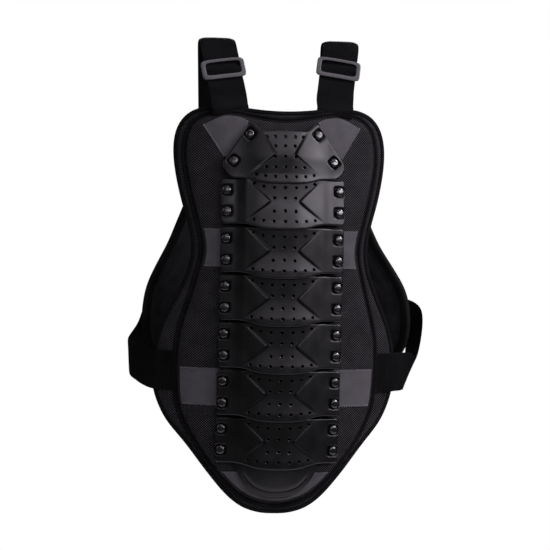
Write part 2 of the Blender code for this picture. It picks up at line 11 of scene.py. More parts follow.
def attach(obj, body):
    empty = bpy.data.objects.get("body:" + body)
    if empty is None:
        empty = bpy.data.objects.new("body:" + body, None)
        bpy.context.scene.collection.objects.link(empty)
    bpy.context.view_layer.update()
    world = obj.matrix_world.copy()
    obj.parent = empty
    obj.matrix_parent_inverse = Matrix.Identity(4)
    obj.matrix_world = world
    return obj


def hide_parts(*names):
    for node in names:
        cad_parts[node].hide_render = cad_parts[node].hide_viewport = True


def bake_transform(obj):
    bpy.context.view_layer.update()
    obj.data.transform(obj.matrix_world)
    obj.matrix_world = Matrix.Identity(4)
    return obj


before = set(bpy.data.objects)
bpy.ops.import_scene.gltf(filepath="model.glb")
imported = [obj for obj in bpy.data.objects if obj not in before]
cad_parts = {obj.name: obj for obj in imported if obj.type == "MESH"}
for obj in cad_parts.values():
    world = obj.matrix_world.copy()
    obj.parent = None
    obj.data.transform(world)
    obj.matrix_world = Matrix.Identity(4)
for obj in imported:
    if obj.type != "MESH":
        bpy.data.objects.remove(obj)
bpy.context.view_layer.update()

# Shape rules in metres: half widths at each height, and the surfaces that the panels bend round. They are those
# of the CAD, but for the seam's lower end, which lies 5 mm higher here.
OUTLINE = (
    (0.252, 0.104), (0.246, 0.121), (0.236, 0.133), (0.220, 0.142), (0.196, 0.146), (0.165, 0.144),
    (0.125, 0.136), (0.085, 0.125), (0.052, 0.121), (0.025, 0.126), (-0.008, 0.139), (-0.045, 0.156),
    (-0.080, 0.166), (-0.112, 0.168), (-0.139, 0.166), (-0.157, 0.161), (-0.184, 0.148), (-0.217, 0.121),
    (-0.258, 0.090), (-0.290, 0.062), (-0.306, 0.038), (-0.3115, 0.016),
)
SEAM = (
    (0.240, 0.105), (0.228, 0.121), (0.205, 0.129), (0.176, 0.130), (0.127, 0.121), (0.078, 0.109),
    (0.050, 0.106), (0.000, 0.117), (-0.036, 0.127), (-0.075, 0.135), (-0.150, 0.134), (-0.181, 0.125),
    (-0.2155, 0.106), (-0.2655, 0.069), (-0.291, 0.038), (-0.298, 0.014),
)
SEAM_TOP = ((0.0, 0.233), (0.030, 0.236), (0.060, 0.242), (0.085, 0.2435))
SEAM_BOTTOM_Z = -0.2988
NECK_DIP = 0.005
NECK_HALF = 0.060
NECK_FADE_Z = 0.200
FLAT_X = 0.030
FLAT_Z = 0.060
WRAP = 2.63
SAG_UP = 0.64
SAG_DOWN = 0.254
BACK_STACK = 0.0114

CHEST_OUTLINE = (
    (0.187, 0.076), (0.183, 0.092), (0.174, 0.102), (0.158, 0.109), (0.135, 0.117), (0.090, 0.135),
    (0.058, 0.149), (0.030, 0.165), (0.000, 0.180), (-0.030, 0.186), (-0.065, 0.186), (-0.095, 0.177),
    (-0.115, 0.158), (-0.127, 0.125),
)
CHEST_Y = 0.190
CHEST_WRAP = 3.27
CHEST_LEAN_Z = 0.060
CHEST_LEAN = 2.6
CHEST_SHIFT = 0.009
CHEST_STACK = 0.0094

PLATE = 0.0024
PLATE_BULGE = 0.0100
BULGE_HALF = 0.064
STANDOFF = 0.0045
SHINGLE = math.radians(3.5)
CROWN_TOP_Z = 0.2175
PLATE_TOP_Z = 0.1543
PLATE_PITCH = 0.0658
PLATE_EAR = 0.062
PLATE_COUNT = 7
TAIL_TOP_Z = -0.2270
TAIL_RISE = 0.0022
PLATE_RIVETS = ((0.0785, -0.0170), (0.0785, -0.0465))
CROWN_RIVETS = ((0.0477, -0.0045), (0.0700, -0.0420))

WEBBING = 0.050
STRAP_FOOT = (0.0727, 0.0240, 0.2554)
STRAP_HEAD = (0.0875, 0.0640, 0.3420)
CROWN_RADIUS = 0.012
SLIDER_ALONG = {-1: 0.57, 1: 0.62}
BELT_WIDTH = 0.055
BELT_DEPTH = 0.0160

MM = 0.001
SIDES = (("left", -1), ("right", 1))
EDGE_STEP = 3 * MM
EDGE_INSET = 3 * MM
PATCH_INSET = 6.2 * MM
PATCH_COLUMNS = 90
STITCH = np.array([0, 0.7, 1.5, 2.2]) * MM
STITCH_PITCH = 3.2 * MM
THREAD_TURN = (0.31, 0.9, 0.29)


def clear_startup():
    for name in ("Cube", "Light", "Camera"):
        if name in bpy.data.objects:
            bpy.data.objects.remove(bpy.data.objects[name], do_unlink=True)


# Arithmetic on arrays


def ramp(at, start, end):
    """0 before start, 1 after end, and a smooth rise between them."""
    share = np.clip((at - start) / (end - start), 0, 1)
    return share * share * (3 - 2 * share)


def unit(vectors):
    return vectors / np.linalg.norm(vectors, axis=-1, keepdims=True)


def smooth(knots, at):
    """Read the smooth curve through (position, value) knots at these positions."""
    where, value = np.array(sorted(knots), float).T
    slope = np.empty(len(where))
    slope[1:-1] = (value[2:] - value[:-2]) / (where[2:] - where[:-2])
    slope[0] = (value[1] - value[0]) / (where[1] - where[0])
    slope[-1] = (value[-1] - value[-2]) / (where[-1] - where[-2])
    at = np.clip(np.asarray(at, float), where[0], where[-1])
    i = np.clip(np.searchsorted(where, at) - 1, 0, len(where) - 2)
    span = where[i + 1] - where[i]
    u = (at - where[i]) / span
    ease = u * u * (3 - 2 * u)
    bend = slope[i] * u * (1 - u) ** 2 - slope[i + 1] * u * u * (1 - u)
    return value[i] + (value[i + 1] - value[i]) * ease + span * bend


def through(points, steps):
    """Points along the smooth curve through 3-D points, with this many steps between two of them."""
    points = np.array(points, float)
    at = np.linspace(0, len(points) - 1, (len(points) - 1) * steps + 1)
    return np.stack([smooth(list(enumerate(points[:, axis])), at) for axis in range(3)], axis=-1)


def run_along(path):
    """How far each point of a line is from its start, along it."""
    return np.concatenate([[0], np.cumsum(np.linalg.norm(np.diff(path, axis=0), axis=1))])


def resample(points, spacing, closed=False):
    """The same line with even spacing."""
    if closed:
        points = np.concatenate([points, points[:1]])
    length = run_along(points)
    count = max(int(round(length[-1] / spacing)), 2)
    at = np.linspace(0, length[-1], count + 1)
    if closed:
        at = at[:-1]
    return np.stack([np.interp(at, length, points[:, axis]) for axis in range(points.shape[1])], axis=-1)


def relaxed(loop, rounds):
    """A closed line with its corners eased."""
    for _ in range(rounds):
        loop = (np.roll(loop, 1, axis=0) + 2 * loop + np.roll(loop, -1, axis=0)) / 4
    return loop


def mirrored_loop(half):
    """A closed line from its +X half, which runs from the top middle to the bottom middle."""
    return np.concatenate([half, (half * (-1, 1))[::-1][1:-1]])


def normals_2d(path, closed):
    """Unit vectors to the left of a line's heading. Round a clockwise loop they point out of it."""
    if closed:
        heading = np.roll(path, -1, axis=0) - np.roll(path, 1, axis=0)
    else:
        heading = np.gradient(path, axis=0)
    heading = unit(heading)
    return np.stack([-heading[:, 1], heading[:, 0]], axis=-1)


def distance_to(x, z, path, closed=True):
    """How far points are from a line in the (x, z) plane."""
    ends = np.roll(path, -1, axis=0) if closed else path[1:]
    starts = path if closed else path[:-1]
    points = np.stack([x.ravel(), z.ravel()], axis=-1)
    best = np.full(len(points), np.inf)
    for start, end in zip(starts, ends):
        run = end - start
        share = np.clip(((points - start) @ run) / max(run @ run, 1e-12), 0, 1)
        best = np.minimum(best, np.linalg.norm(points - start - share[:, None] * run, axis=1))
    return best.reshape(x.shape)


def inside(x, z, loop):
    """True where points lie inside a closed line."""
    found = np.zeros(x.shape, bool)
    for (x0, z0), (x1, z1) in zip(loop, np.roll(loop, -1, axis=0)):
        if z0 != z1:
            crosses = (z0 > z) != (z1 > z)
            found ^= crosses & (x < (x1 - x0) * (z - z0) / (z1 - z0) + x0)
    return found


# Surfaces


def wrap(x):
    return WRAP * np.maximum(np.abs(x) - FLAT_X, 0) ** 2


def wrap_slope(x):
    return np.sign(x) * 2 * WRAP * np.maximum(np.abs(x) - FLAT_X, 0)


def back_surface(x, z, depth):
    """Points this deep outside the back lining's inner face."""
    x, z, depth = np.broadcast_arrays(*(np.asarray(values, float) for values in (x, z, depth)))
    above = np.maximum(z - FLAT_Z, 0)
    below = np.maximum(-z - FLAT_Z, 0)
    normal = np.stack([wrap_slope(x), np.full(x.shape, -1.0), 2 * (SAG_UP * above - SAG_DOWN * below)], axis=-1)
    base = np.stack([x, wrap(x) + SAG_UP * above**2 + SAG_DOWN * below**2, z], axis=-1)
    return base + unit(normal) * depth[..., None]


def chest_surface(x, z, depth):
    """Points this deep outside the chest lining's inner face."""
    x, z, depth = np.broadcast_arrays(*(np.asarray(values, float) for values in (x, z, depth)))
    above = np.maximum(z - CHEST_LEAN_Z, 0)
    normal = np.stack([2 * CHEST_WRAP * x, np.ones(x.shape), 2 * CHEST_LEAN * above], axis=-1)
    base = np.stack([x + CHEST_SHIFT, CHEST_Y - CHEST_WRAP * x * x - CHEST_LEAN * above**2, z], axis=-1)
    return base + unit(normal) * depth[..., None]


def neck_drop(x, z):
    fade = np.clip((z - NECK_FADE_Z) / (OUTLINE[0][0] - NECK_FADE_Z), 0, 1)
    return NECK_DIP * fade * np.maximum(1 - (x / NECK_HALF) ** 2, 0)


def side_line(knots, count):
    """(x, z) points down a panel's +X edge, from its (height, half width) knots."""
    heights = np.linspace(knots[0][0], knots[-1][0], count)
    return np.stack([smooth(knots, heights), heights], axis=-1)


def closed_edge(half, rounds):
    """A whole edge from its +X half, evenly stepped, with its corners eased."""
    return relaxed(resample(mirrored_loop(half), EDGE_STEP, closed=True), rounds)


def back_rim():
    """The back panel's edge as a closed line."""
    top, bottom = OUTLINE[0][0], OUTLINE[-1][0]
    neck_x = np.linspace(0, OUTLINE[0][1], 30)
    neck = np.stack([neck_x, top - neck_drop(neck_x, top)], axis=-1)
    return closed_edge(np.concatenate([neck, side_line(OUTLINE, 200)[1:], [(0.0, bottom)]]), 12)


def back_seam():
    """The line where the padded middle meets the flat border."""
    top = through([(x, z, 0) for x, z in SEAM_TOP], 6)[:, :2]
    return closed_edge(np.concatenate([top, side_line(SEAM, 160), [(0.0, SEAM_BOTTOM_Z)]]), 10)


def chest_rim():
    """The chest panel's edge as a closed line."""
    top, bottom = CHEST_OUTLINE[0][0], CHEST_OUTLINE[-1][0]
    return closed_edge(np.concatenate([[(0.0, top)], side_line(CHEST_OUTLINE, 120), [(0.0, bottom)]]), 16)


def offset_loop(loop, inset):
    return relaxed(loop - normals_2d(loop, closed=True) * inset, 6)


RIM = back_rim()
SEAM_LOOP = back_seam()
CHEST_RIM = chest_rim()

# Depth of the back panel's outer face over its inner face
PAD_DEPTH = 12.4 * MM
GROOVE_DEPTH = 7.4 * MM
FLANGE_DEPTH = 8.2 * MM
RIM_DEPTH = 6.6 * MM
PAD_ROLL = 5.0 * MM


def back_depth(x, z):
    """How deep the back panel's outer face lies: a crowned middle, a groove at its seam and a thin border."""
    from_seam = distance_to(x, z, SEAM_LOOP)
    from_rim = distance_to(x, z, RIM)
    middle = GROOVE_DEPTH + (PAD_DEPTH - GROOVE_DEPTH) * (1 - np.exp(-from_seam / PAD_ROLL))
    border = GROOVE_DEPTH + (FLANGE_DEPTH - GROOVE_DEPTH) * ramp(from_seam, 2 * MM, 9 * MM)
    border -= (FLANGE_DEPTH - RIM_DEPTH) * (1 - ramp(from_rim, 4 * MM, 11 * MM))
    return np.where(inside(x, z, SEAM_LOOP), middle, border)


# Mesh making


def add_object(name, data):
    obj = bpy.data.objects.new(name, data)
    bpy.context.scene.collection.objects.link(obj)
    return obj


def from_bmesh(name, bm):
    mesh = bpy.data.meshes.new(name)
    bm.to_mesh(mesh)
    bm.free()
    return mesh


def make_object(name, vertices, faces, uv, material, sharp=None):
    """A closed body. Its edges stay sharp over this angle in degrees, or none do."""
    mesh = bpy.data.meshes.new(name)
    mesh.from_pydata(np.asarray(vertices, float).reshape(-1, 3).tolist(), [], faces)
    if uv is not None:
        layer = mesh.uv_layers.new(name="flat")
        corners = np.empty(len(mesh.loops), np.int32)
        mesh.loops.foreach_get("vertex_index", corners)
        layer.data.foreach_set("uv", np.asarray(uv, np.float32).reshape(-1, 2)[corners].ravel())
    mesh.shade_smooth()
    if sharp:
        mesh.set_sharp_from_angle(angle=math.radians(sharp))
    obj = add_object(name, mesh)
    mesh.materials.append(material)
    return outward(obj)


def outward(obj):
    """Turns the faces of a closed body outwards."""
    bm = bmesh.new()
    bm.from_mesh(obj.data)
    bmesh.ops.recalc_face_normals(bm, faces=bm.faces)
    bm.to_mesh(obj.data)
    bm.free()
    return obj


def grid_faces(rows, columns, wrap_rows=False, wrap_columns=False, first=0, flip=False):
    i = np.arange(rows if wrap_rows else rows - 1)
    j = np.arange(columns if wrap_columns else columns - 1)
    i, j = np.meshgrid(i, j, indexing="ij")
    down, across = (i + 1) % rows, (j + 1) % columns
    quads = np.stack([i * columns + j, i * columns + across, down * columns + across, down * columns + j], -1)
    if flip:
        quads = quads[..., ::-1]
    return (quads.reshape(-1, 4) + first).tolist()


def end_caps(count, sides, first=0):
    """The flat ends of an open tube of this many rings."""
    ring = [first + side for side in range(sides)]
    return [ring[::-1], [(count - 1) * sides + corner for corner in ring]]


def slab(name, x, z, front, back, material, sharp=None):
    """A closed body between two grids of points, which share one flat (x, z) grid.

    The rows run down and the columns run to +X, as seen from outside.
    """
    rows, columns = x.shape
    count = rows * columns
    faces = grid_faces(rows, columns, flip=True) + grid_faces(rows, columns, first=count)
    index = np.arange(count).reshape(rows, columns)
    rim = np.concatenate([index[0, :-1], index[:-1, -1], index[-1, :0:-1], index[:0:-1, 0]])
    ahead = np.roll(rim, -1)
    faces += np.stack([rim, ahead, ahead + count, rim + count], axis=-1).tolist()
    vertices = np.concatenate([front.reshape(-1, 3), back.reshape(-1, 3)])
    flat = np.stack([x, z], axis=-1).reshape(-1, 2)
    return make_object(name, vertices, faces, np.concatenate([flat, flat]), material, sharp)


def tube(name, rings, uv, material, closed):
    """A body from rings of points. It is a loop when closed, and has flat ends when not."""
    count, sides = rings.shape[:2]
    faces = grid_faces(count, sides, wrap_rows=closed, wrap_columns=True)
    if not closed:
        faces += end_caps(count, sides)
    return make_object(name, rings, faces, uv, material)


def binding(name, path, section, surface):
    """Tape along a closed (x, z) path on a panel. Its section is a list of (reach outwards, depth)."""
    normal = normals_2d(path, closed=True)
    reach, depth = np.array(section, float).T
    x = path[:, :1] + normal[:, :1] * reach
    z = path[:, 1:] + normal[:, 1:] * reach
    length = np.cumsum(np.linalg.norm(path - np.roll(path, 1, axis=0), axis=1))
    uv = np.stack(np.broadcast_arrays(reach, length[:, None]), axis=-1)
    return tube(name, surface(x, z, depth), uv, BINDING_TAPE, closed=True)


def full_turn(count):
    return np.linspace(0, 2 * math.pi, count, endpoint=False)


def squared(count, power):
    """Points round a curve between a circle (power 2) and a square."""
    c, s = np.cos(full_turn(count)), np.sin(full_turn(count))
    return np.stack([np.sign(c) * np.abs(c) ** (2 / power), np.sign(s) * np.abs(s) ** (2 / power)], axis=-1)


def rounded_section(width, height, power, count):
    """A closed loop like a rectangle with round corners, centred on the origin."""
    return squared(count, power) * (width, height) / 2


def ribbon(name, path, side, width, thickness, material, droop=0.0, square=True):
    """Webbing along a 3-D path, with its width along side and its edges bent down by droop.

    The width is made square to the path, unless the webbing shears.
    """
    heading = unit(np.gradient(path, axis=0))
    side = np.broadcast_to(side, path.shape)
    if square:
        side = unit(side - heading * (heading * side).sum(-1, keepdims=True))
    normal = unit(np.cross(side, heading))
    section = rounded_section(width, thickness, 6.0, 44)
    fall = np.reshape(droop, (-1, 1)) * np.abs(2 * section[:, 0] / width) ** 5
    rings = path[:, None] + side[:, None] * section[:, :1] + normal[:, None] * (section[:, 1] - fall)[..., None]
    uv = np.stack(np.broadcast_arrays(section[:, 0], run_along(path)[:, None]), axis=-1)
    return tube(name, rings, uv, material, closed=False)


def thread(name, paths, radius, material):
    """Sewing thread along several 3-D paths, as one object."""
    vertices, faces, sides = [], [], 5
    angle = full_turn(sides)[:, None]
    for path in paths:
        heading = unit(np.gradient(path, axis=0))
        side = unit(np.cross(heading, THREAD_TURN))
        up = np.cross(side, heading)
        rings = path[:, None] + radius * (side[:, None] * np.cos(angle) + up[:, None] * np.sin(angle))
        first = len(vertices)
        vertices.extend(rings.reshape(-1, 3))
        faces += grid_faces(len(path), sides, wrap_columns=True, first=first)
        faces += end_caps(len(path), sides, first)
    return make_object(name, vertices, faces, None, material)


def arch(crest):
    """How far a stitch's four points lie over the cloth, when its middle lies this many millimetres over it."""
    return np.array([-0.3, crest, crest, -0.3]) * MM


def dress(obj, slot, *nodes, body=None):
    """Hides the CAD nodes that a piece stands for and hangs it on its body; a piece that runs over the tail's
    fold gets no body, its place baked into its mesh. The slot is not used.
    """
    if nodes:
        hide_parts(*nodes)
    if body == "fold":
        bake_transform(obj)
    elif body:
        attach(obj, body)


# Materials


def new_material(name, colour, roughness):
    made = bpy.data.materials.new(name)
    made.use_nodes = True
    shader = made.node_tree.nodes["Principled BSDF"]
    shader.inputs["Base Color"].default_value = (*colour, 1.0)
    shader.inputs["Roughness"].default_value = roughness
    return made, made.node_tree, shader


def add_node(tree, kind, inputs=(), **settings):
    """A node of this kind. Inputs are (name or number, value or socket) pairs."""
    node = tree.nodes.new(f"ShaderNode{kind}")
    for key, value in settings.items():
        setattr(node, key, value)
    for key, value in inputs:
        if isinstance(value, bpy.types.NodeSocket):
            tree.links.new(value, node.inputs[key])
        else:
            node.inputs[key].default_value = value
    return node


def math_node(tree, operation, *values):
    return add_node(tree, "Math", enumerate(values), operation=operation).outputs[0]


def flat_coordinates(tree):
    """The two flat coordinates of the cloth, in metres."""
    uv = add_node(tree, "UVMap", uv_map="flat").outputs["UV"]
    split = add_node(tree, "SeparateXYZ", [(0, uv)])
    return split.outputs["X"], split.outputs["Y"]


def noise(tree, scale, detail=3.0):
    place = add_node(tree, "TexCoord").outputs["Object"]
    inputs = [("Vector", place), ("Scale", scale), ("Detail", detail), ("Roughness", 0.55)]
    return add_node(tree, "TexNoise", inputs).outputs["Fac"]


def mapped(tree, value, old_low, old_high, low, high):
    """A value moved from one range to another."""
    inputs = enumerate((value, old_low, old_high, low, high))
    return add_node(tree, "MapRange", inputs).outputs[0]


def grey(value):
    return (value, value * 0.97, value * 1.03)


def paint(tree, shader, factor, *stops, specular=None):
    """Colours a surface through (position, grey level) stops."""
    node = add_node(tree, "ValToRGB", [("Fac", factor)])
    while len(node.color_ramp.elements) < len(stops):
        node.color_ramp.elements.new(0.5)
    for element, (position, level) in zip(node.color_ramp.elements, stops):
        element.position = position
        element.color = (*grey(level), 1.0)
    tree.links.new(node.outputs["Color"], shader.inputs["Base Color"])
    if specular is not None:
        shader.inputs["Specular IOR Level"].default_value = specular


def add_bump(tree, shader, height, distance, strength):
    bump = add_node(tree, "Bump", [("Height", height), ("Distance", distance), ("Strength", strength)])
    tree.links.new(bump.outputs["Normal"], shader.inputs["Normal"])


def wave(tree, at, pitch, shift=0.0):
    """A cosine from -1 to 1 with this pitch in metres."""
    turns = math_node(tree, "MULTIPLY_ADD", at, 2 * math.pi / pitch, shift)
    return math_node(tree, "COSINE", turns)


def spacer_mesh():
    """Warp-knitted air mesh: a diagonal lattice of round holes between raised threads."""
    made, tree, shader = new_material("spacer_mesh", grey(0.02), 0.9)
    across, down = flat_coordinates(tree)
    pitch = 3.4 * MM
    holes = math_node(tree, "MULTIPLY", wave(tree, across, pitch), wave(tree, down, pitch))
    height = mapped(tree, holes, -0.55, 0.30, 1.0, 0.0)
    cloud = noise(tree, 45.0)
    lit = math_node(tree, "MULTIPLY_ADD", cloud, 0.35, math_node(tree, "MULTIPLY", height, 0.8))
    paint(tree, shader, lit, (0.10, 0.0004), (0.55, 0.0045), (1.0, 0.064), specular=0.06)
    add_bump(tree, shader, height, 0.6 * MM, 0.8)
    return made


def woven(name, low, high, thread_pitch, roughness, sheen, bump):
    """Plain-woven cloth with a fine thread pattern and a little cloudiness."""
    made, tree, shader = new_material(name, grey(high), roughness)
    across, down = flat_coordinates(tree)
    crossing = math_node(tree, "MULTIPLY", wave(tree, across, thread_pitch), wave(tree, down, thread_pitch))
    lit = math_node(tree, "MULTIPLY_ADD", crossing, 0.22, noise(tree, 60.0))
    paint(tree, shader, lit, (0.25, low), (0.80, high), specular=0.12)
    shader.inputs["Sheen Weight"].default_value = sheen
    shader.inputs["Sheen Roughness"].default_value = 0.4
    add_bump(tree, shader, crossing, bump, 0.5)
    return made


def ribbed(name, base, rib_pitch, lengthwise):
    """Elastic webbing: fine ribs across or along it, with a matte face."""
    made, tree, shader = new_material(name, grey(base), 0.8)
    across, down = flat_coordinates(tree)
    at, other = (across, down) if lengthwise else (down, across)
    ribs = wave(tree, at, rib_pitch)
    knit = wave(tree, other, rib_pitch * 0.6)
    height = math_node(tree, "MULTIPLY_ADD", knit, 0.25, ribs)
    lit = math_node(tree, "MULTIPLY_ADD", ribs, 0.16, noise(tree, 35.0))
    paint(tree, shader, lit, (0.2, base * 0.5), (0.9, base * 1.7), specular=0.05)
    add_bump(tree, shader, height, 0.25 * MM, 0.6)
    return made


def moulded(name, base, roughness, grain, grain_size, specular=0.5):
    """Moulded plastic with a fine grain, uneven roughness, and painted shade: its shine fades out where a mesh
    attribute marks grooves and rivet cups.
    """
    made, tree, shader = new_material(name, grey(base), roughness)
    grain_height = noise(tree, 1.0 / grain_size, 4.0)
    cloud = noise(tree, 30.0)
    varied = mapped(tree, cloud, 0.3, 0.7, roughness - 0.06, roughness + 0.07)
    tree.links.new(varied, shader.inputs["Roughness"])
    paint(tree, shader, cloud, (0.3, base * 0.85), (0.7, base * 1.15))
    # Painted shade: the shine is taken away in the grooves and rivet cups that the plate's shade mask marks, to
    # darken them as shade would.
    painted_shade = add_node(tree, "Attribute", attribute_name="painted_shade").outputs["Fac"]
    gloss = mapped(tree, painted_shade, 0.0, 1.0, specular, 0.0)
    tree.links.new(gloss, shader.inputs["Specular IOR Level"])
    add_bump(tree, shader, grain_height, grain, 0.35)
    return made


def fuzzy(name, base):
    """Hook or loop cloth: a short dense pile."""
    made, tree, shader = new_material(name, grey(base), 0.95)
    pile = noise(tree, 1400.0, 2.0)
    paint(tree, shader, pile, (0.35, base * 0.4), (0.65, base * 2.0), specular=0.08)
    add_bump(tree, shader, pile, 0.6 * MM, 0.9)
    return made


def sewing_thread(name, base):
    made, tree, shader = new_material(name, grey(base), 0.6)
    paint(tree, shader, noise(tree, 900.0, 1.0), (0.3, base * 0.7), (0.7, base * 1.2), specular=0.1)
    return made


MESH_CLOTH = spacer_mesh()
LINING = woven("lining_cloth", 0.007, 0.018, 1.4 * MM, 0.9, 0.02, 0.20 * MM)
PATCH_CLOTH = woven("patch_cloth", 0.055, 0.080, 0.9 * MM, 0.75, 0.05, 0.08 * MM)
BINDING_TAPE = ribbed("binding_tape", 0.0055, 1.3 * MM, lengthwise=True)
ELASTIC = ribbed("elastic_webbing", 0.0037, 1.7 * MM, lengthwise=False)
BELT_ELASTIC = ribbed("belt_elastic", 0.0034, 2.0 * MM, lengthwise=False)
PLATE_PLASTIC = moulded("plate_plastic", 0.0030, 0.32, 0.05 * MM, 1.1 * MM, specular=0.34)
RIVET_PLASTIC = moulded("rivet_plastic", 0.0012, 0.27, 0.0, 1.5 * MM, specular=0.9)
SLIDER_PLASTIC = moulded("slider_plastic", 0.055, 0.38, 0.04 * MM, 0.8 * MM)
PILE = fuzzy("pile_cloth", 0.006)
DARK_THREAD = sewing_thread("dark_thread", 0.0045)
PALE_THREAD = sewing_thread("pale_thread", 0.22)


# Back panel


def panel_grid(outline, spacing, drop=None):
    """(x, z) of a grid that fills an outline up to its binding, top row first."""
    top, bottom = outline[0][0], outline[-1][0]
    rows = int((top - bottom) / spacing)
    columns = 2 * int(max(half for _, half in outline) / spacing) + 1
    z = (top - EDGE_INSET) + ((bottom + EDGE_INSET) - (top - EDGE_INSET)) * np.linspace(0, 1, rows)
    x, z = inset_rows(outline, z, EDGE_INSET, 4 * MM, columns)
    return (x, z - drop(x, z)) if drop else (x, z)


def inset_rows(outline, z, inset, least, columns):
    """(x, z) of a grid whose rows at these heights stop this far inside an outline."""
    slope = (smooth(outline, z + MM) - smooth(outline, z - MM)) / (2 * MM)
    half = np.maximum(smooth(outline, z) - inset * np.hypot(1, slope), least)
    return half[:, None] * np.linspace(-1, 1, columns), np.repeat(z[:, None], columns, axis=1)


def add_back_panel():
    x, z = panel_grid(OUTLINE, 2.2 * MM, neck_drop)
    inner = back_surface(x, z, 1.5 * MM)
    pad = slab("back_pad", x, z, back_surface(x, z, back_depth(x, z)), inner, MESH_CLOTH)
    dress(pad, "mesh_fabric", "back_cover", "back_foam", "tail_cover", "tail_foam", body="fold")

    x, z = panel_grid(OUTLINE, 3.0 * MM, neck_drop)
    pressed = 1.1 * MM * np.exp(-((distance_to(x, z, SEAM_LOOP) / (3 * MM)) ** 2))
    inner = back_surface(x, z, 0.1 * MM + pressed)
    lining = slab("back_lining", x, z, back_surface(x, z, 1.4 * MM + pressed), inner, LINING)
    dress(lining, "lining", "back_liner", "tail_liner", body="fold")

    section = rounded_section(5.8 * MM, 8.8 * MM, 3.2, 24) + (-2.9 * MM, 4.1 * MM)
    rim = binding("back_edge_binding", RIM, section, back_surface)
    dress(rim, "binding", "back_binding", "tail_binding", body="fold")

    reach = np.linspace(-4.9, 4.9, 25)
    crest = 2.4 * np.abs(np.sin(math.pi * reach / 4.9)) ** 0.55
    over = np.stack([reach, crest], axis=-1)
    under = np.stack([reach[::-1], np.full(len(reach), -1.6)], axis=-1)
    section = np.concatenate([over, under]) * MM + (0, GROOVE_DEPTH)
    tape = binding("back_piping", SEAM_LOOP, section, back_surface)
    dress(tape, "binding", "back_seam_tape", "tail_seam_tape", body="fold")

    share = np.array([0.10, 0.3, 0.55, 0.75])[:, None]
    for name, loop, inset, depth, pitch in (
        ("back_binding_stitches", RIM, 4.3 * MM, 8.4 * MM, 3.6 * MM),
        ("back_piping_stitches", SEAM_LOOP, 0.0, GROOVE_DEPTH + 0.4 * MM, 3.2 * MM),
    ):
        line = resample(offset_loop(loop, inset), pitch, closed=True)[:, None]
        points = line + (np.roll(line, -1, axis=0) - line) * share
        paths = back_surface(*np.moveaxis(points, -1, 0), depth + arch(0.25))
        dress(thread(name, paths, 0.28 * MM, DARK_THREAD), "binding", body="fold")


def add_patch(name, x, z, node, body, rows=(0, -1), columns=()):
    """A smooth cloth patch on the padded middle, with zigzag stitching along these of its rows and columns."""
    depth = back_depth(x, z)
    outer = back_surface(x, z, depth + 0.75 * MM)
    patch = slab(name, x, z, outer, back_surface(x, z, depth + 0.1 * MM), PATCH_CLOTH, sharp=50)
    dress(patch, "patch", node, body=body)
    flat = np.stack([x, z], axis=-1)
    paths = []
    for edge in [flat[row] for row in rows] + [flat[:, column] for column in columns]:
        line = resample(edge, 1.15 * MM)
        normal = normals_2d(line, closed=False)
        if (flat.mean((0, 1)) - line.mean(0)) @ normal.mean(0) > 0:
            normal = -normal
        swing = np.where(np.arange(len(line)) % 2, 0.5, -1.9)[:, None] * MM
        points = (line + normal * swing).T
        paths.append(back_surface(*points, back_depth(*points) + 0.95 * MM))
    dress(thread(f"{name}_stitches", paths, 0.26 * MM, PALE_THREAD), "patch", body=body)


def band_grid(top, bottom):
    """(x, z) of a patch from side to side of the padded middle."""
    return inset_rows(SEAM, np.linspace(top, bottom, 24), PATCH_INSET, 0.0, PATCH_COLUMNS)


def tail_grid(top):
    """(x, z) of a patch that fills the padded middle's round lower end."""
    loop = offset_loop(SEAM_LOOP, PATCH_INSET)
    line = loop[(loop[:, 0] >= 0) & (loop[:, 1] < top + 10 * MM)]
    line = line[np.argsort(line[:, 1])]
    bottom = line[0, 1] + 0.3 * MM
    z = bottom + (top - bottom) * np.cos(np.linspace(0, math.pi / 2, 30))
    half = np.maximum(np.interp(z, line[:, 1], line[:, 0]), 8 * MM)
    return half[:, None] * np.linspace(-1, 1, PATCH_COLUMNS), np.repeat(z[:, None], PATCH_COLUMNS, axis=1)


def add_patches():
    add_patch("waist_patch", *band_grid(0.0834, 0.0320), "waist_band", "back_panel")
    add_patch("hip_patch", *band_grid(-0.1090, -0.1600), "hip_band", "back_panel")
    add_patch("tail_end_patch", *tail_grid(-0.2520), "tail_patch", "tail", rows=(0,))
    top = through([(0.048, 0.2315, 0), (0.060, 0.2365, 0), (0.080, 0.2372, 0), (0.106, 0.2245, 0)], 8)[:, :2]
    foot = np.linspace((0.062, 0.182), (0.080, 0.182), len(top))
    x, z = np.moveaxis(top + (foot - top) * np.linspace(0, 1, 26)[:, None, None], -1, 0)
    for name, side in SIDES:
        grid = (x * side)[:, ::side], z[:, ::side]
        node = f"shoulder_patch_{name}"
        add_patch(f"shoulder_cloth_{name}", *grid, node, "back_panel", rows=(), columns=(0, -1))

# Armour plates


def plate_frame(top, rise, tilt):
    """A plate's own axes, this far over the panel at its top edge, and leaning with the panel less a tilt."""
    upper, lower = (Vector(back_surface(0.0, z, BACK_STACK)) for z in (top, top - PLATE_EAR))
    lean = math.atan2(lower.y - upper.y, upper.z - lower.z) - tilt
    return Matrix.Translation(upper - Vector((0.0, rise, 0.0))) @ Matrix.Rotation(lean, 4, "X")


def plate_y(x, share=1.0):
    return wrap(x) - share * PLATE_BULGE * np.maximum(1 - (x / BULGE_HALF) ** 2, 0) ** 2


def plate_slope(x):
    return wrap_slope(x) + 4 * PLATE_BULGE * x / BULGE_HALF**2 * np.maximum(1 - (x / BULGE_HALF) ** 2, 0)


def plate_normal(x):
    return Vector((float(plate_slope(x)), -1.0, 0.0)).normalized()


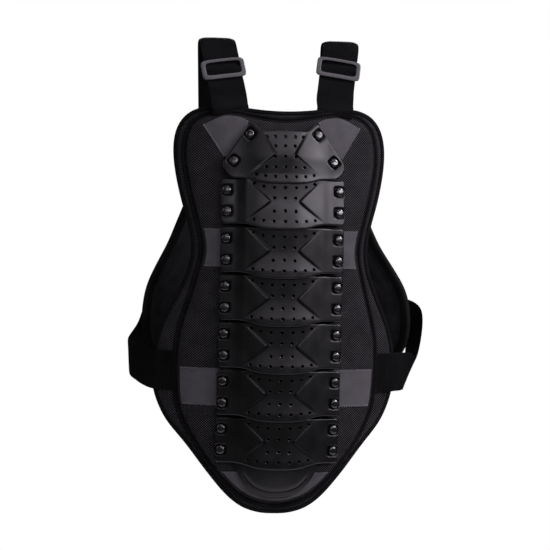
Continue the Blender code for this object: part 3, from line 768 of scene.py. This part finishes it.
def square_cup(x, z, centre, half, turn=0.0):
    """1 inside a square with round corners, 0 outside, with a short slope between."""
    c, s = math.cos(turn), math.sin(turn)
    u = (x - centre[0]) * c + (z - centre[1]) * s
    v = -(x - centre[0]) * s + (z - centre[1]) * c
    reach = (np.abs(u) ** 5 + np.abs(v) ** 5) ** 0.2
    return 1 - ramp(reach, half - 0.7 * MM, half + 0.7 * MM)


PLATE_FACE = PLATE + 0.1 * MM
PLATE_GRID = 1.15 * MM
WAIST_Z = -0.0335
WAIST_HALF = 0.0205
CROWN_WAIST_HALF = 0.0145
BODY_HALF = 0.0625
BODY_RISE = 2.3 * MM
WAIST_SINK = 1.6 * MM
CUP_SINK = 2.2 * MM
CUP_FLOOR = 0.35 * MM - CUP_SINK
CUP_HALF = 7.6 * MM
CROWN_CUP_TURN = math.radians(-48)
HOLE_RADIUS = 2.15 * MM
DRILL_LENGTH = 24 * MM


def relief(x, z, rivets, crown):
    """(height, painted shade) of a plate's face: how far it stands over its ears, and a mask of painted shade,
    1 where it is grooved or sunk.

    The body is raised, with a waisted sunk middle between two flat arrowheads, and each rivet sits in a square
    cup.
    """
    side = np.abs(x)
    if crown:
        height = BODY_RISE * (0.5 + 0.5 * ramp(-z, 0.035, 0.062))
    else:
        height = BODY_RISE * (1 - ramp(side, BODY_HALF - 12 * MM, BODY_HALF + 7 * MM))
    above, below = (np.hypot(np.maximum(reach, 0), 2 * MM) - 2 * MM for reach in (z - WAIST_Z, WAIST_Z - z))
    half = (CROWN_WAIST_HALF if crown else WAIST_HALF) + (0.55 if crown else 1.05) * above + 1.30 * below
    sunk = 1 - ramp(side, half - 1.6 * MM, half + 0.4 * MM)
    fade = 1 - np.clip(above / 0.030 + below / 0.026, 0, 1) ** 1.5
    groove = np.exp(-(((side - half + 0.3 * MM) / (1.0 * MM)) ** 2)) * fade
    height = height - WAIST_SINK * sunk * fade - 0.6 * MM * groove
    # Painted shade in a soft band along the foot of the arrowheads' step, where the groove is shaded.
    painted_shade = np.exp(-(((side - half + 0.5 * MM) / (1.7 * MM)) ** 2)) * fade
    for rivet_x, rivet_z in rivets:
        cup = square_cup(side, z, (rivet_x - 0.5 * MM, rivet_z), CUP_HALF, CROWN_CUP_TURN if crown else 0.0)
        height = height * (1 - cup) + CUP_FLOOR * cup
        # Painted shade over each rivet cup.
        painted_shade = np.maximum(painted_shade, 0.85 * cup)
    return height, painted_shade


def tongue_relief(z, edge):
    """The height of the tail tongue's face: a dome with a step round its foot."""
    foot = ramp(-z, 0.022, 0.044)
    return 2.0 * MM * ramp(edge, 0, 16 * MM) - 0.9 * MM * foot * np.exp(-(((edge - 9 * MM) / (1.8 * MM)) ** 2))


def plate_mesh(name, widest, low, high, rivets, crown=False, tail=False):
    """A plate in its own frame: the moulded face, its underside and a rounded rim between them."""
    across = np.linspace(-1, 1, 2 * int(widest / PLATE_GRID) + 1)
    x = widest * np.sign(across) * (1 - (1 - np.abs(across)) ** 1.12)
    rows = int(0.070 / PLATE_GRID)
    high_z, low_z = high(np.abs(x)), low(np.abs(x))
    z = high_z + (low_z - high_z) * np.linspace(0, 1, rows)[:, None]
    x = np.repeat(x[None], rows, axis=0)
    flat = np.stack([x, z], axis=-1)
    edge = distance_to(x, z, np.concatenate([flat[0], flat[1:, -1], flat[-1, -2::-1], flat[-2:0:-1, 0]]))
    share, painted_shade = 1.0, np.zeros(x.shape)
    if tail:
        share = 0.85 - 0.55 * np.clip((z - z.max()) / (z.min() - z.max()), 0, 1) ** 2
        height = tongue_relief(z, edge)
    else:
        height, painted_shade = relief(x, z, rivets, crown)
    normal = unit(np.stack([plate_slope(x), np.full(x.shape, -1.0), np.zeros(x.shape)], -1))
    base = np.stack([x, plate_y(x, share), z], axis=-1)
    rounding = 2 * MM * (1 - ramp(edge, -1.2 * MM, 1.4 * MM))
    face = base + normal * (PLATE_FACE + height - rounding)[..., None]
    plate = slab(name, x, z, face, base + normal * height[..., None], PLATE_PLASTIC)
    # The painted shade of the grooves and cups goes to the plate's material as a point attribute.
    painted_shade_layer = plate.data.attributes.new("painted_shade", "FLOAT", "POINT")
    painted_shade_layer.data.foreach_set("value", np.concatenate([painted_shade.ravel()] * 2).astype(np.float32))
    return plate


# (distance from the middle, height) along the upper and lower edges of each plate
STANDARD_LOW = (
    (0.0, -0.0725), (0.018, -0.0720), (0.032, -0.0702), (0.046, -0.0660), (0.058, -0.0640), (0.086, -0.0640),
)
CROWN_LOW = (
    (0.0, -0.0692), (0.020, -0.0688), (0.034, -0.0668), (0.048, -0.0630), (0.062, -0.0612), (0.072, -0.0600),
    (0.080, -0.0535), (0.084, -0.0470),
)
CROWN_HIGH = (
    (0.0, 0.0), (0.026, 0.0), (0.033, 0.0016), (0.039, 0.0070), (0.0435, 0.0105), (0.047, 0.0100),
    (0.0505, 0.0055), (0.070, -0.0222), (0.080, -0.0365), (0.084, -0.0430),
)
TONGUE_LOW = (
    (0.0, -0.0600), (0.012, -0.0592), (0.024, -0.0560), (0.036, -0.0500), (0.048, -0.0370), (0.055, -0.0240),
    (0.058, -0.0120),
)
CORNER_X = 0.0810
CORNER_RADIUS = 0.005

# Vent holes in each plate, in millimetres from its top middle
STANDARD_HOLES = (
    (0, -14.6), (14.9, -14.4), (28.6, -13.0), (41.0, -8.6), (0, -29.2), (14.2, -29.2),
    (0, -46.8), (14.6, -47.4), (0, -61.6), (15.0, -61.4), (28.8, -60.4), (41.4, -58.8),
)
CROWN_HOLES = (
    (0, -9.6), (13.5, -9.6), (24.5, -9.4), (0, -22.4), (13.3, -22.4), (0, -37.2), (14.2, -37.2),
    (0, -52.2), (13.4, -52.2), (25.8, -52.0), (0, -66.2), (14.0, -66.0), (27.0, -65.0), (39.0, -62.4),
)


def corner_height(x):
    return np.sqrt(np.maximum(CORNER_RADIUS**2 - np.maximum(x - CORNER_X, 0) ** 2, 0))


def standard_low(x):
    return smooth(STANDARD_LOW, x) + CORNER_RADIUS - corner_height(x)


def standard_high(x):
    return corner_height(x) - 0.0062


def crown_low(x):
    return smooth(CROWN_LOW, x) * 1.085


def crown_high(x):
    return smooth(CROWN_HIGH, x)


def tongue_low(x):
    return smooth(TONGUE_LOW, x)


def tongue_high(x):
    return np.minimum(0.054 - x, 0)


def drill(obj, holes):
    """Cuts these holes and their mirror images, square to the plate's face."""
    bm = bmesh.new()
    for x, z in sorted({(side * x * MM, z * MM) for x, z in holes for side in (-1, 1)}):
        turn = plate_normal(x).to_track_quat("Z", "X").to_matrix().to_4x4()
        place = Matrix.Translation((x, float(plate_y(x)), z)) @ turn
        radii = {"radius1": HOLE_RADIUS, "radius2": HOLE_RADIUS}
        bmesh.ops.create_cone(bm, cap_ends=True, segments=18, depth=DRILL_LENGTH, matrix=place, **radii)
    cutter = add_object("drill", from_bmesh("drill", bm))
    cut = obj.modifiers.new("Holes", "BOOLEAN")
    cut.object = cutter
    cut.operation = "DIFFERENCE"
    cut.solver = "EXACT"
    bpy.context.view_layer.update()
    evaluated = obj.evaluated_get(bpy.context.evaluated_depsgraph_get())
    made = bpy.data.meshes.new_from_object(evaluated)
    obj.modifiers.clear()
    obj.data = made
    bpy.data.objects.remove(cutter, do_unlink=True)


def rivet_frame(rivets, side):
    """A rivet pair's axes in its plate's frame, X from the lower to the upper, and half their distance."""
    upper, lower = (Vector((side * x, float(plate_y(x)), z)) for x, z in rivets)
    middle = (upper + lower) / 2
    normal = plate_normal(middle.x)
    along = (upper - lower) - normal * (upper - lower).dot(normal)
    half = (upper - lower).length / 2
    along.normalize()
    axes = Matrix((along, normal.cross(along), normal)).transposed().to_4x4()
    return Matrix.Translation(middle) @ axes, half


RIVET_RADIUS = 6.2 * MM
RIVET_DOME = 3.4 * MM
RIVET_COLLAR = 0.7 * MM
SHANK_RADIUS = 2.2 * MM
STRIP = (11 * MM, 1.0 * MM)
STRIP_DEPTH = 1.5 * MM


def rivet_pair(rivets, side):
    """Two domed rivets with their collars, and the carrier strip under the plate."""
    axes, half = rivet_frame(rivets, side)
    floor = PLATE_FACE + CUP_FLOOR
    profile = [
        (RIVET_RADIUS * math.sin(turn) ** 0.65, floor + RIVET_COLLAR + RIVET_DOME * math.cos(turn) ** 0.65)
        for turn in np.linspace(0, math.pi / 2, 16)[:-1]
    ]
    profile += [(RIVET_RADIUS, floor + RIVET_COLLAR), (5.9 * MM, floor + 0.05 * MM)]
    profile += [(SHANK_RADIUS, floor + 0.02 * MM), (SHANK_RADIUS, -1.6 * MM), (0.0, -1.6 * MM)]
    bm = bmesh.new()
    for reach in (-half, half):
        ends = [bm.verts.new((radius + reach, 0.0, height)) for radius, height in profile]
        edges = [bm.edges.new(pair) for pair in zip(ends, ends[1:])]
        spin = {"axis": (0, 0, 1), "cent": (reach, 0, 0), "angle": 2 * math.pi, "steps": 28, "use_merge": True}
        bmesh.ops.spin(bm, geom=ends + edges, **spin)
    bmesh.ops.remove_doubles(bm, verts=bm.verts, dist=0.01 * MM)
    size = Matrix.Diagonal((2 * half + STRIP[0], *STRIP, 1.0))
    made = bmesh.ops.create_cube(bm, size=1.0, matrix=Matrix.Translation((0, 0, -STRIP_DEPTH)) @ size)
    corners = set(made["verts"])
    strip_edges = [edge for edge in bm.edges if corners.issuperset(edge.verts)]
    bmesh.ops.bevel(bm, geom=strip_edges, offset=0.3 * MM, segments=2, affect="EDGES")
    bmesh.ops.recalc_face_normals(bm, faces=bm.faces)
    bmesh.ops.transform(bm, matrix=axes, verts=bm.verts)
    mesh = from_bmesh("pair", bm)
    mesh.shade_smooth()
    mesh.set_sharp_from_angle(angle=math.radians(40))
    mesh.materials.append(RIVET_PLASTIC)
    return mesh


def add_plates():
    crown_shape = plate_mesh("crown_shape", 0.084, crown_low, crown_high, CROWN_RIVETS, crown=True)
    plate_shape = plate_mesh("plate_shape", 0.086, standard_low, standard_high, PLATE_RIVETS)
    drill(crown_shape, CROWN_HOLES)
    drill(plate_shape, STANDARD_HOLES)
    crown_pairs, plate_pairs = (
        {side: rivet_pair(rivets, side) for _, side in SIDES} for rivets in (CROWN_RIVETS, PLATE_RIVETS)
    )
    for number in range(1, PLATE_COUNT + 1):
        top = CROWN_TOP_Z if number == 1 else PLATE_TOP_Z - PLATE_PITCH * (number - 2)
        shape, pairs = (crown_shape, crown_pairs) if number == 1 else (plate_shape, plate_pairs)
        body = f"armour_{number}"
        plate = add_object(f"armour_plate_{number}", shape.data)
        plate.matrix_world = plate_frame(top, STANDOFF, SHINGLE)
        dress(plate, "plate", f"plate_{number}", body=body)
        for name, side in SIDES:
            rivets = add_object(f"rivet_pair_{number}_{name}", pairs[side])
            rivets.matrix_world = plate_frame(top, STANDOFF, SHINGLE)
            dress(rivets, "rivet", f"rivets_{number}_{name}", body=body)
    for shape in (crown_shape, plate_shape):
        bpy.data.objects.remove(shape, do_unlink=True)
    tongue = plate_mesh("tail_tongue", 0.058, tongue_low, tongue_high, (), tail=True)
    tongue.matrix_world = plate_frame(TAIL_TOP_Z, TAIL_RISE, 0.0)
    dress(tongue, "plate", "tail_plate", body="tail")


# Straps, sliders and belts


def mirrored(points, side, shift=0.0):
    return np.asarray(points, float) * (side, 1, 1) + (shift, 0, 0)


def strap_axes(side):
    """(foot, head, direction, outward normal) of a shoulder strap's straight part."""
    foot, head = mirrored(STRAP_FOOT, side), mirrored(STRAP_HEAD, side)
    along = unit(head - foot)
    return foot, head, along, unit(np.cross(along, (-1.0, 0.0, 0.0)))


def crown_arc(side, degrees):
    """Points on the strap's turn over the shoulder, by the angle turned from its straight part."""
    run = np.array(STRAP_HEAD) - np.array(STRAP_FOOT)
    up = unit(np.array([0.0, run[1], run[2]]))
    forward = np.array([0.0, up[2], -up[1]])
    angle = np.radians(degrees)[:, None]
    centre = np.array(STRAP_HEAD) + forward * CROWN_RADIUS
    return mirrored(centre + (up * np.sin(angle) - forward * np.cos(angle)) * CROWN_RADIUS, side)


def strap_lift(from_bar):
    """How far a strap rises or dips at this distance along it from its slider's bar."""
    hump = math.exp(-((from_bar / (5.5 * MM)) ** 2))
    dips = sum(math.exp(-(((from_bar - reach) / (4.5 * MM)) ** 2)) for reach in (12.5 * MM, -12.5 * MM))
    return 2.6 * MM * hump - 0.9 * MM * dips


# Where each strap is sewn to the back panel (x, z, depth)
STRAP_SEWN = ((0.0708, 0.2415, 7.6 * MM), (0.0712, 0.2462, 9.4 * MM), (0.0719, 0.2515, 10.6 * MM))
STRAP_SEAMS_Z = (0.154, 0.172)
STRAP_THICK = 2.0 * MM
STRAP_EDGE_DROOP = 3.5 * MM


def add_straps():
    for name, side in SIDES:
        foot, head, along, normal = strap_axes(side)
        length = np.linalg.norm(head - foot)
        sewn = [back_surface(side * x, z, depth) for x, z, depth in STRAP_SEWN]
        rear = [foot + along * 12 * MM] + [
            foot + along * share * length + normal * strap_lift((share - SLIDER_ALONG[side]) * length)
            for share in np.linspace(0.24, 0.98, 30)
        ]
        top = list(crown_arc(side, np.linspace(4, 134, 12)))
        chest_foot = chest_surface(side * 0.080, 0.1790, CHEST_STACK + 1.6 * MM)
        drop = [top[-1] + (chest_foot - top[-1]) * share for share in (0.2, 0.4, 0.6, 0.8, 0.93)]
        lower = [chest_surface(side * 0.0795, z, CHEST_STACK + 1.7 * MM) for z in (0.176, 0.163, 0.150)]
        path = resample(through(sewn + rear + top + drop + lower, 3), 2.2 * MM)
        droop = STRAP_EDGE_DROOP * ramp(path[:, 2], 0.334, 0.352)
        width = WEBBING + 1.2 * MM
        strap = ribbon(f"shoulder_webbing_{name}", path, (1.0, 0.0, 0.0), width, STRAP_THICK, ELASTIC, droop)
        dress(strap, "webbing", f"shoulder_strap_back_{name}", f"shoulder_strap_front_{name}")
        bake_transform(strap)

        paths = [
            chest_surface(side * (x + STITCH), z, CHEST_STACK + 2.7 * MM + arch(0.35))
            for z in STRAP_SEAMS_Z
            for x in np.arange(0.058, 0.100, STITCH_PITCH)
        ]
        dress(thread(f"strap_end_stitches_{name}", paths, 0.3 * MM, DARK_THREAD), "webbing", body="chest_panel")


SLIDER_OUTER = (62 * MM, 30 * MM)
SLIDER_INNER = (49.8 * MM, 19.4 * MM)
SLIDER_THICK = 2.8 * MM
SLIDER_BOW = 1.3 * MM


def slider_rings():
    """The slider's flat frame round its opening, a little bowed, as rings for a tube."""
    line = squared(96, 7.0)
    outer, inner = line * np.array(SLIDER_OUTER) / 2, line * np.array(SLIDER_INNER) / 2 + (0, 0.8 * MM)
    section = rounded_section(1.0, 1.0, 4.5, 20)
    flat = inner[:, None] + (outer - inner)[:, None] * (section[:, 0] + 0.5)[None, :, None]
    bow = SLIDER_BOW * (1 - (2 * flat[..., :1] / SLIDER_OUTER[0]) ** 2)
    return np.concatenate([flat, section[None, :, 1:] * SLIDER_THICK + bow + 2.2 * MM], axis=-1)


def add_sliders():
    for name, side in SIDES:
        foot, head, along, normal = strap_axes(side)
        centre = foot + (head - foot) * SLIDER_ALONG[side]
        axes = np.stack([np.cross(along, normal), along, normal])
        body = tube(f"tri_glide_{name}", slider_rings() @ axes + centre, None, SLIDER_PLASTIC, closed=True)
        section = rounded_section(6.0 * MM, 2.4 * MM, 2.6, 16)
        at = np.linspace(-26.8, 26.8, 20)[:, None] * MM
        bar = np.stack(np.broadcast_arrays(at, section[None, :, 0], section[None, :, 1] - 0.3 * MM), axis=-1)
        middle = tube(f"tri_glide_bar_{name}", bar @ axes + centre, None, SLIDER_PLASTIC, closed=False)
        dress(body, "slider", f"strap_slider_{name}", body=f"slider_{name}")
        dress(middle, "slider", body=f"slider_{name}")


# Where each belt is sewn to the back panel (x, z, depth), where it runs free (points and inward tilts in
# degrees, by side), and where it lies on the chest panel (x, z)
BELT_SEWN = ((0.1350, -0.115, 8.4 * MM), (0.152, -0.115, 10.2 * MM), (0.166, -0.114, 10.8 * MM))
BELT_ROUTE = {
    -1: ((0.193, 0.066, -0.108), (0.208, 0.090, -0.099), (0.187, 0.116, -0.070)),
    1: ((0.189, 0.066, -0.115), (0.194, 0.084, -0.113), (0.203, 0.114, -0.050)),
}
BELT_TILT = {-1: (0, 0, 0), 1: (10, 15, 15)}
BELT_ENDS = ((0.158, -0.035), (0.132, -0.025), (0.104, -0.018))
BELT_THICK = 2.2 * MM
BELT_STEPS = 10
BELT_EASING = 120
WAIST_CENTRE = (CHEST_SHIFT / 2, 0.060, 0.0)
BELT_MIDDLE_Y = 0.09


def with_normal(surface, x, z, depth):
    """A point on a panel, and the panel's outward direction there."""
    return surface(x, z, depth), surface(x, z, 1) - surface(x, z, 0)


def belt_parts(side):
    """(points, directions across the belt) of its rear part and of its front part."""
    knots = [with_normal(back_surface, side * x, z, depth) for x, z, depth in BELT_SEWN]
    split = BELT_STEPS * (len(knots) + 1)
    for knot, shift, tilt in zip(BELT_ROUTE[side], (0.5, 1, 1), np.radians(BELT_TILT[side])):
        point = mirrored(knot, side, CHEST_SHIFT * shift)
        level = unit((point - WAIST_CENTRE) * (1, 1, 0))
        knots.append((point, level * math.cos(tilt) - np.array([0, 0, math.sin(tilt)])))
    knots += [with_normal(chest_surface, side * x, z, BELT_DEPTH) for x, z in BELT_ENDS]
    path, normals = (through(points, BELT_STEPS) for points in zip(*knots))
    across = side * unit(np.cross(normals, np.gradient(path, axis=0)))
    for _ in range(BELT_EASING):
        across[1:-1] = unit(across[:-2] + 2 * across[1:-1] + across[2:])
    return (path[: split + 1], across[: split + 1]), (path[split:], across[split:])


def belt_stitches(name, path, across, rows, body):
    """Rows of stitching across a belt, on its outer face."""
    normal = np.cross(across, unit(np.gradient(path, axis=0)))
    if normal[0] @ (path[0] - (0, BELT_MIDDLE_Y, path[0][2])) < 0:
        normal = -normal
    paths = [
        path[row] + across[row] * (reach + STITCH)[:, None] + normal[row] * (1.25 * MM + arch(0.3))[:, None]
        for row in rows
        for reach in np.arange(-24 * MM, 24 * MM, STITCH_PITCH)
    ]
    dress(thread(name, paths, 0.3 * MM, DARK_THREAD), "webbing", body=body)


def add_belts():
    for name, side in SIDES:
        rear, front = belt_parts(side)
        for piece, (path, across), hold in (("rear", rear, "back_pad"), ("front", front, f"loop_cloth_{name}")):
            belt = ribbon(
                f"side_belt_{piece}_{name}", path, across, BELT_WIDTH, BELT_THICK, BELT_ELASTIC, square=False
            )
            dress(belt, "webbing", f"belt_{piece}_{name}", body=f"belt_{name}" if piece == "front" else None)
            if piece == "rear":
                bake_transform(belt)
        belt_stitches(f"belt_seam_{name}", *rear, (6, 9, 16, 19), "back_panel")
        belt_stitches(f"belt_end_seam_{name}", *front, (-3, -12), f"belt_{name}")


def add_closures():
    """Loop cloth sewn on the chest panel, and the hook pad under each belt's end."""
    for prefix, node, ends, width, low, high in (
        ("loop_cloth", "loop_patch", ((0.150, -0.032), (0.070, -0.010)), 0.060, 0.4 * MM, 1.6 * MM),
        ("hook_cloth", "hook_pad", ((0.142, -0.029), (0.107, -0.018)), 0.045, 3.2 * MM, 4.6 * MM),
    ):
        for name, side in SIDES:
            start, end = np.array(ends)
            along = unit(end - start)
            up = np.array([along[1], -along[0]])
            u = np.linspace(0, np.linalg.norm(end - start), 40)[None, :, None]
            v = np.linspace(0.5, -0.5, 28)[:, None, None] * width
            x, z = np.moveaxis((start + along * u + up * v)[:, ::-side], -1, 0)
            x = side * x
            outer = chest_surface(x, z, CHEST_STACK + high)
            inner = chest_surface(x, z, CHEST_STACK + low)
            cloth = slab(f"{prefix}_{name}", x, z, outer, inner, PILE, sharp=50)
            body = "chest_panel" if prefix == "loop_cloth" else f"belt_{name}"
            dress(cloth, "hook_loop", f"{node}_{name}", body=body)


# Chest panel


def chest_relief(x, z, seams, raised):
    """A quilted face: raised between its channel seams and flat in its border."""
    from_rim = distance_to(x, z, CHEST_RIM)
    height = raised * ramp(from_rim, 12 * MM, 22 * MM)
    height -= 0.8 * raised * np.exp(-(((from_rim - 13 * MM) / (3 * MM)) ** 2))
    for seam in seams:
        from_seam = distance_to(x, z, np.array(seam, float), closed=False)
        height -= 0.85 * raised * np.exp(-((from_seam / (3.2 * MM)) ** 2)) * ramp(from_rim, 10 * MM, 16 * MM)
    return height


# Channel seams of the chest panel's faces, each as two (x, z) ends. Those at the sides are mirrored.
CHEST_SEAMS_INSIDE = (((0.110, 0.048), (0.168, -0.012)), ((0.104, 0.030), (0.160, -0.030)))
CHEST_SEAMS_OUTSIDE = (
    ((0.062, 0.170), (0.062, -0.110)), ((0.062, 0.060), (0.150, 0.020)), ((0.062, -0.075), (0.165, -0.085)),
)
CHEST_SEAMS_ACROSS = (((-0.062, 0.085), (0.062, 0.085)), ((-0.062, 0.010), (0.062, 0.010)))


def both_sides(seams):
    return [np.array(seam) * (side, 1) for seam in seams for side in (-1, 1)]


def add_chest_panel():
    x, z = panel_grid(CHEST_OUTLINE, 2.8 * MM)
    inner_seams = both_sides(CHEST_SEAMS_INSIDE)
    outer_seams = both_sides(CHEST_SEAMS_OUTSIDE) + list(CHEST_SEAMS_ACROSS)
    outer = chest_surface(x, z, 7.6 * MM + chest_relief(x, z, outer_seams, 1.8 * MM))
    inner = chest_surface(x, z, 2.4 * MM - chest_relief(x, z, inner_seams, 1.2 * MM))
    pad = slab("chest_pad", x, z, outer, inner, MESH_CLOTH)
    dress(pad, "mesh_fabric", "chest_cover", "chest_foam", body="chest_panel")
    raised = chest_relief(x, z, inner_seams, 2.2 * MM)
    faces = (chest_surface(x, z, depth - raised) for depth in (2.0 * MM, 1.0 * MM))
    lining = slab("chest_lining", x, z, *faces, LINING)
    dress(lining, "lining", "chest_liner", body="chest_panel")
    section = rounded_section(9.0 * MM, 9.6 * MM, 3.2, 24) + (-4.3 * MM, 4.4 * MM)
    rim = binding("chest_edge_binding", CHEST_RIM, section, chest_surface)
    dress(rim, "binding", "chest_binding", body="chest_panel")


# Stage

CAMERA_AZIMUTH, CAMERA_ELEVATION, CAMERA_ROLL = -8.5, 2.6, 1.5
CAMERA_DISTANCE = 4.0
CAMERA_ACROSS = 0.7629
CAMERA_AIM = Vector((-0.0075, 0.0, 0.0213))
FLOOR_Z = -0.85
LIGHT_COLOUR = (1.0, 0.93, 1.04)
WHITE = (1.0, 1.0, 1.0, 1.0)

# (name, azimuth, elevation, distance, (width, height), power) of each soft light
SOFTBOXES = (
    ("key", 48, 21, 2.6, (1.5, 0.4), 32),
    ("fill", 2, 21, 2.6, (2.2, 0.35), 14),
    ("spark", 74, 42, 2.4, (0.5, 0.6), 40),
    ("top", 8, 68, 2.2, (1.4, 0.7), 8),
    ("left_rim", -80, 24, 2.4, (0.4, 1.4), 8),
    ("behind", 165, 25, 2.6, (1.4, 1.2), 110),
)


def direction(azimuth, elevation):
    """Towards a viewer at these angles in degrees: 0, 0 is straight before the armour."""
    a, e = math.radians(azimuth), math.radians(elevation)
    return Vector((math.sin(a) * math.cos(e), -math.cos(a) * math.cos(e), math.sin(e)))


def facing(back):
    """The turn that makes a camera or a light look from this direction."""
    return back.to_track_quat("Z", "Y").to_matrix().to_4x4()


def add_camera():
    """A long lens, a little above the middle of the panel and to its left."""
    data = bpy.data.cameras.new("camera")
    data.sensor_width = 36.0
    data.lens = data.sensor_width * CAMERA_DISTANCE / CAMERA_ACROSS
    data.clip_end = 30.0
    camera = add_object("camera", data)
    back = direction(CAMERA_AZIMUTH, CAMERA_ELEVATION)
    turn = facing(back) @ Matrix.Rotation(math.radians(CAMERA_ROLL), 4, "Z")
    camera.matrix_world = Matrix.Translation(CAMERA_AIM + back * CAMERA_DISTANCE) @ turn
    bpy.context.scene.camera = camera


def add_softbox(name, azimuth, elevation, distance, size, power):
    """A rectangular soft light that faces the middle from this direction."""
    data = bpy.data.lights.new(name, "AREA")
    data.shape = "RECTANGLE"
    data.size, data.size_y = size
    data.energy = power
    data.color = LIGHT_COLOUR
    back = direction(azimuth, elevation)
    add_object(name, data).matrix_world = Matrix.Translation(back * distance) @ facing(back)


def add_world():
    """Dim light all round, and white where the camera looks past the object."""
    world = bpy.data.worlds.new("studio")
    world.use_nodes = True
    tree = world.node_tree
    shade = tree.nodes["Background"]
    shade.inputs["Color"].default_value = WHITE
    shade.inputs["Strength"].default_value = 0.06
    shown = add_node(tree, "Background", [("Color", WHITE), ("Strength", 1.0)]).outputs[0]
    seen = add_node(tree, "LightPath").outputs["Is Camera Ray"]
    mix = add_node(tree, "MixShader", [(0, seen), (1, shade.outputs[0]), (2, shown)])
    tree.links.new(mix.outputs[0], tree.nodes["World Output"].inputs["Surface"])
    bpy.context.scene.world = world
    bpy.context.scene.view_settings.view_transform = "Standard"


def add_stage():
    bm = bmesh.new()
    bmesh.ops.create_cone(bm, cap_ends=True, segments=64, radius1=1.1, radius2=1.1, depth=0.01)
    floor = add_object("floor", from_bmesh("floor", bm))
    floor.location = (0, 0, FLOOR_Z)
    floor.data.materials.append(new_material("pale_floor", (0.62, 0.62, 0.62), 0.9)[0])
    for softbox in SOFTBOXES:
        add_softbox(*softbox)
    add_world()


clear_startup()
add_camera()
add_stage()
add_back_panel()
add_patches()
add_plates()
add_straps()
add_sliders()
add_belts()
add_chest_panel()
add_closures()
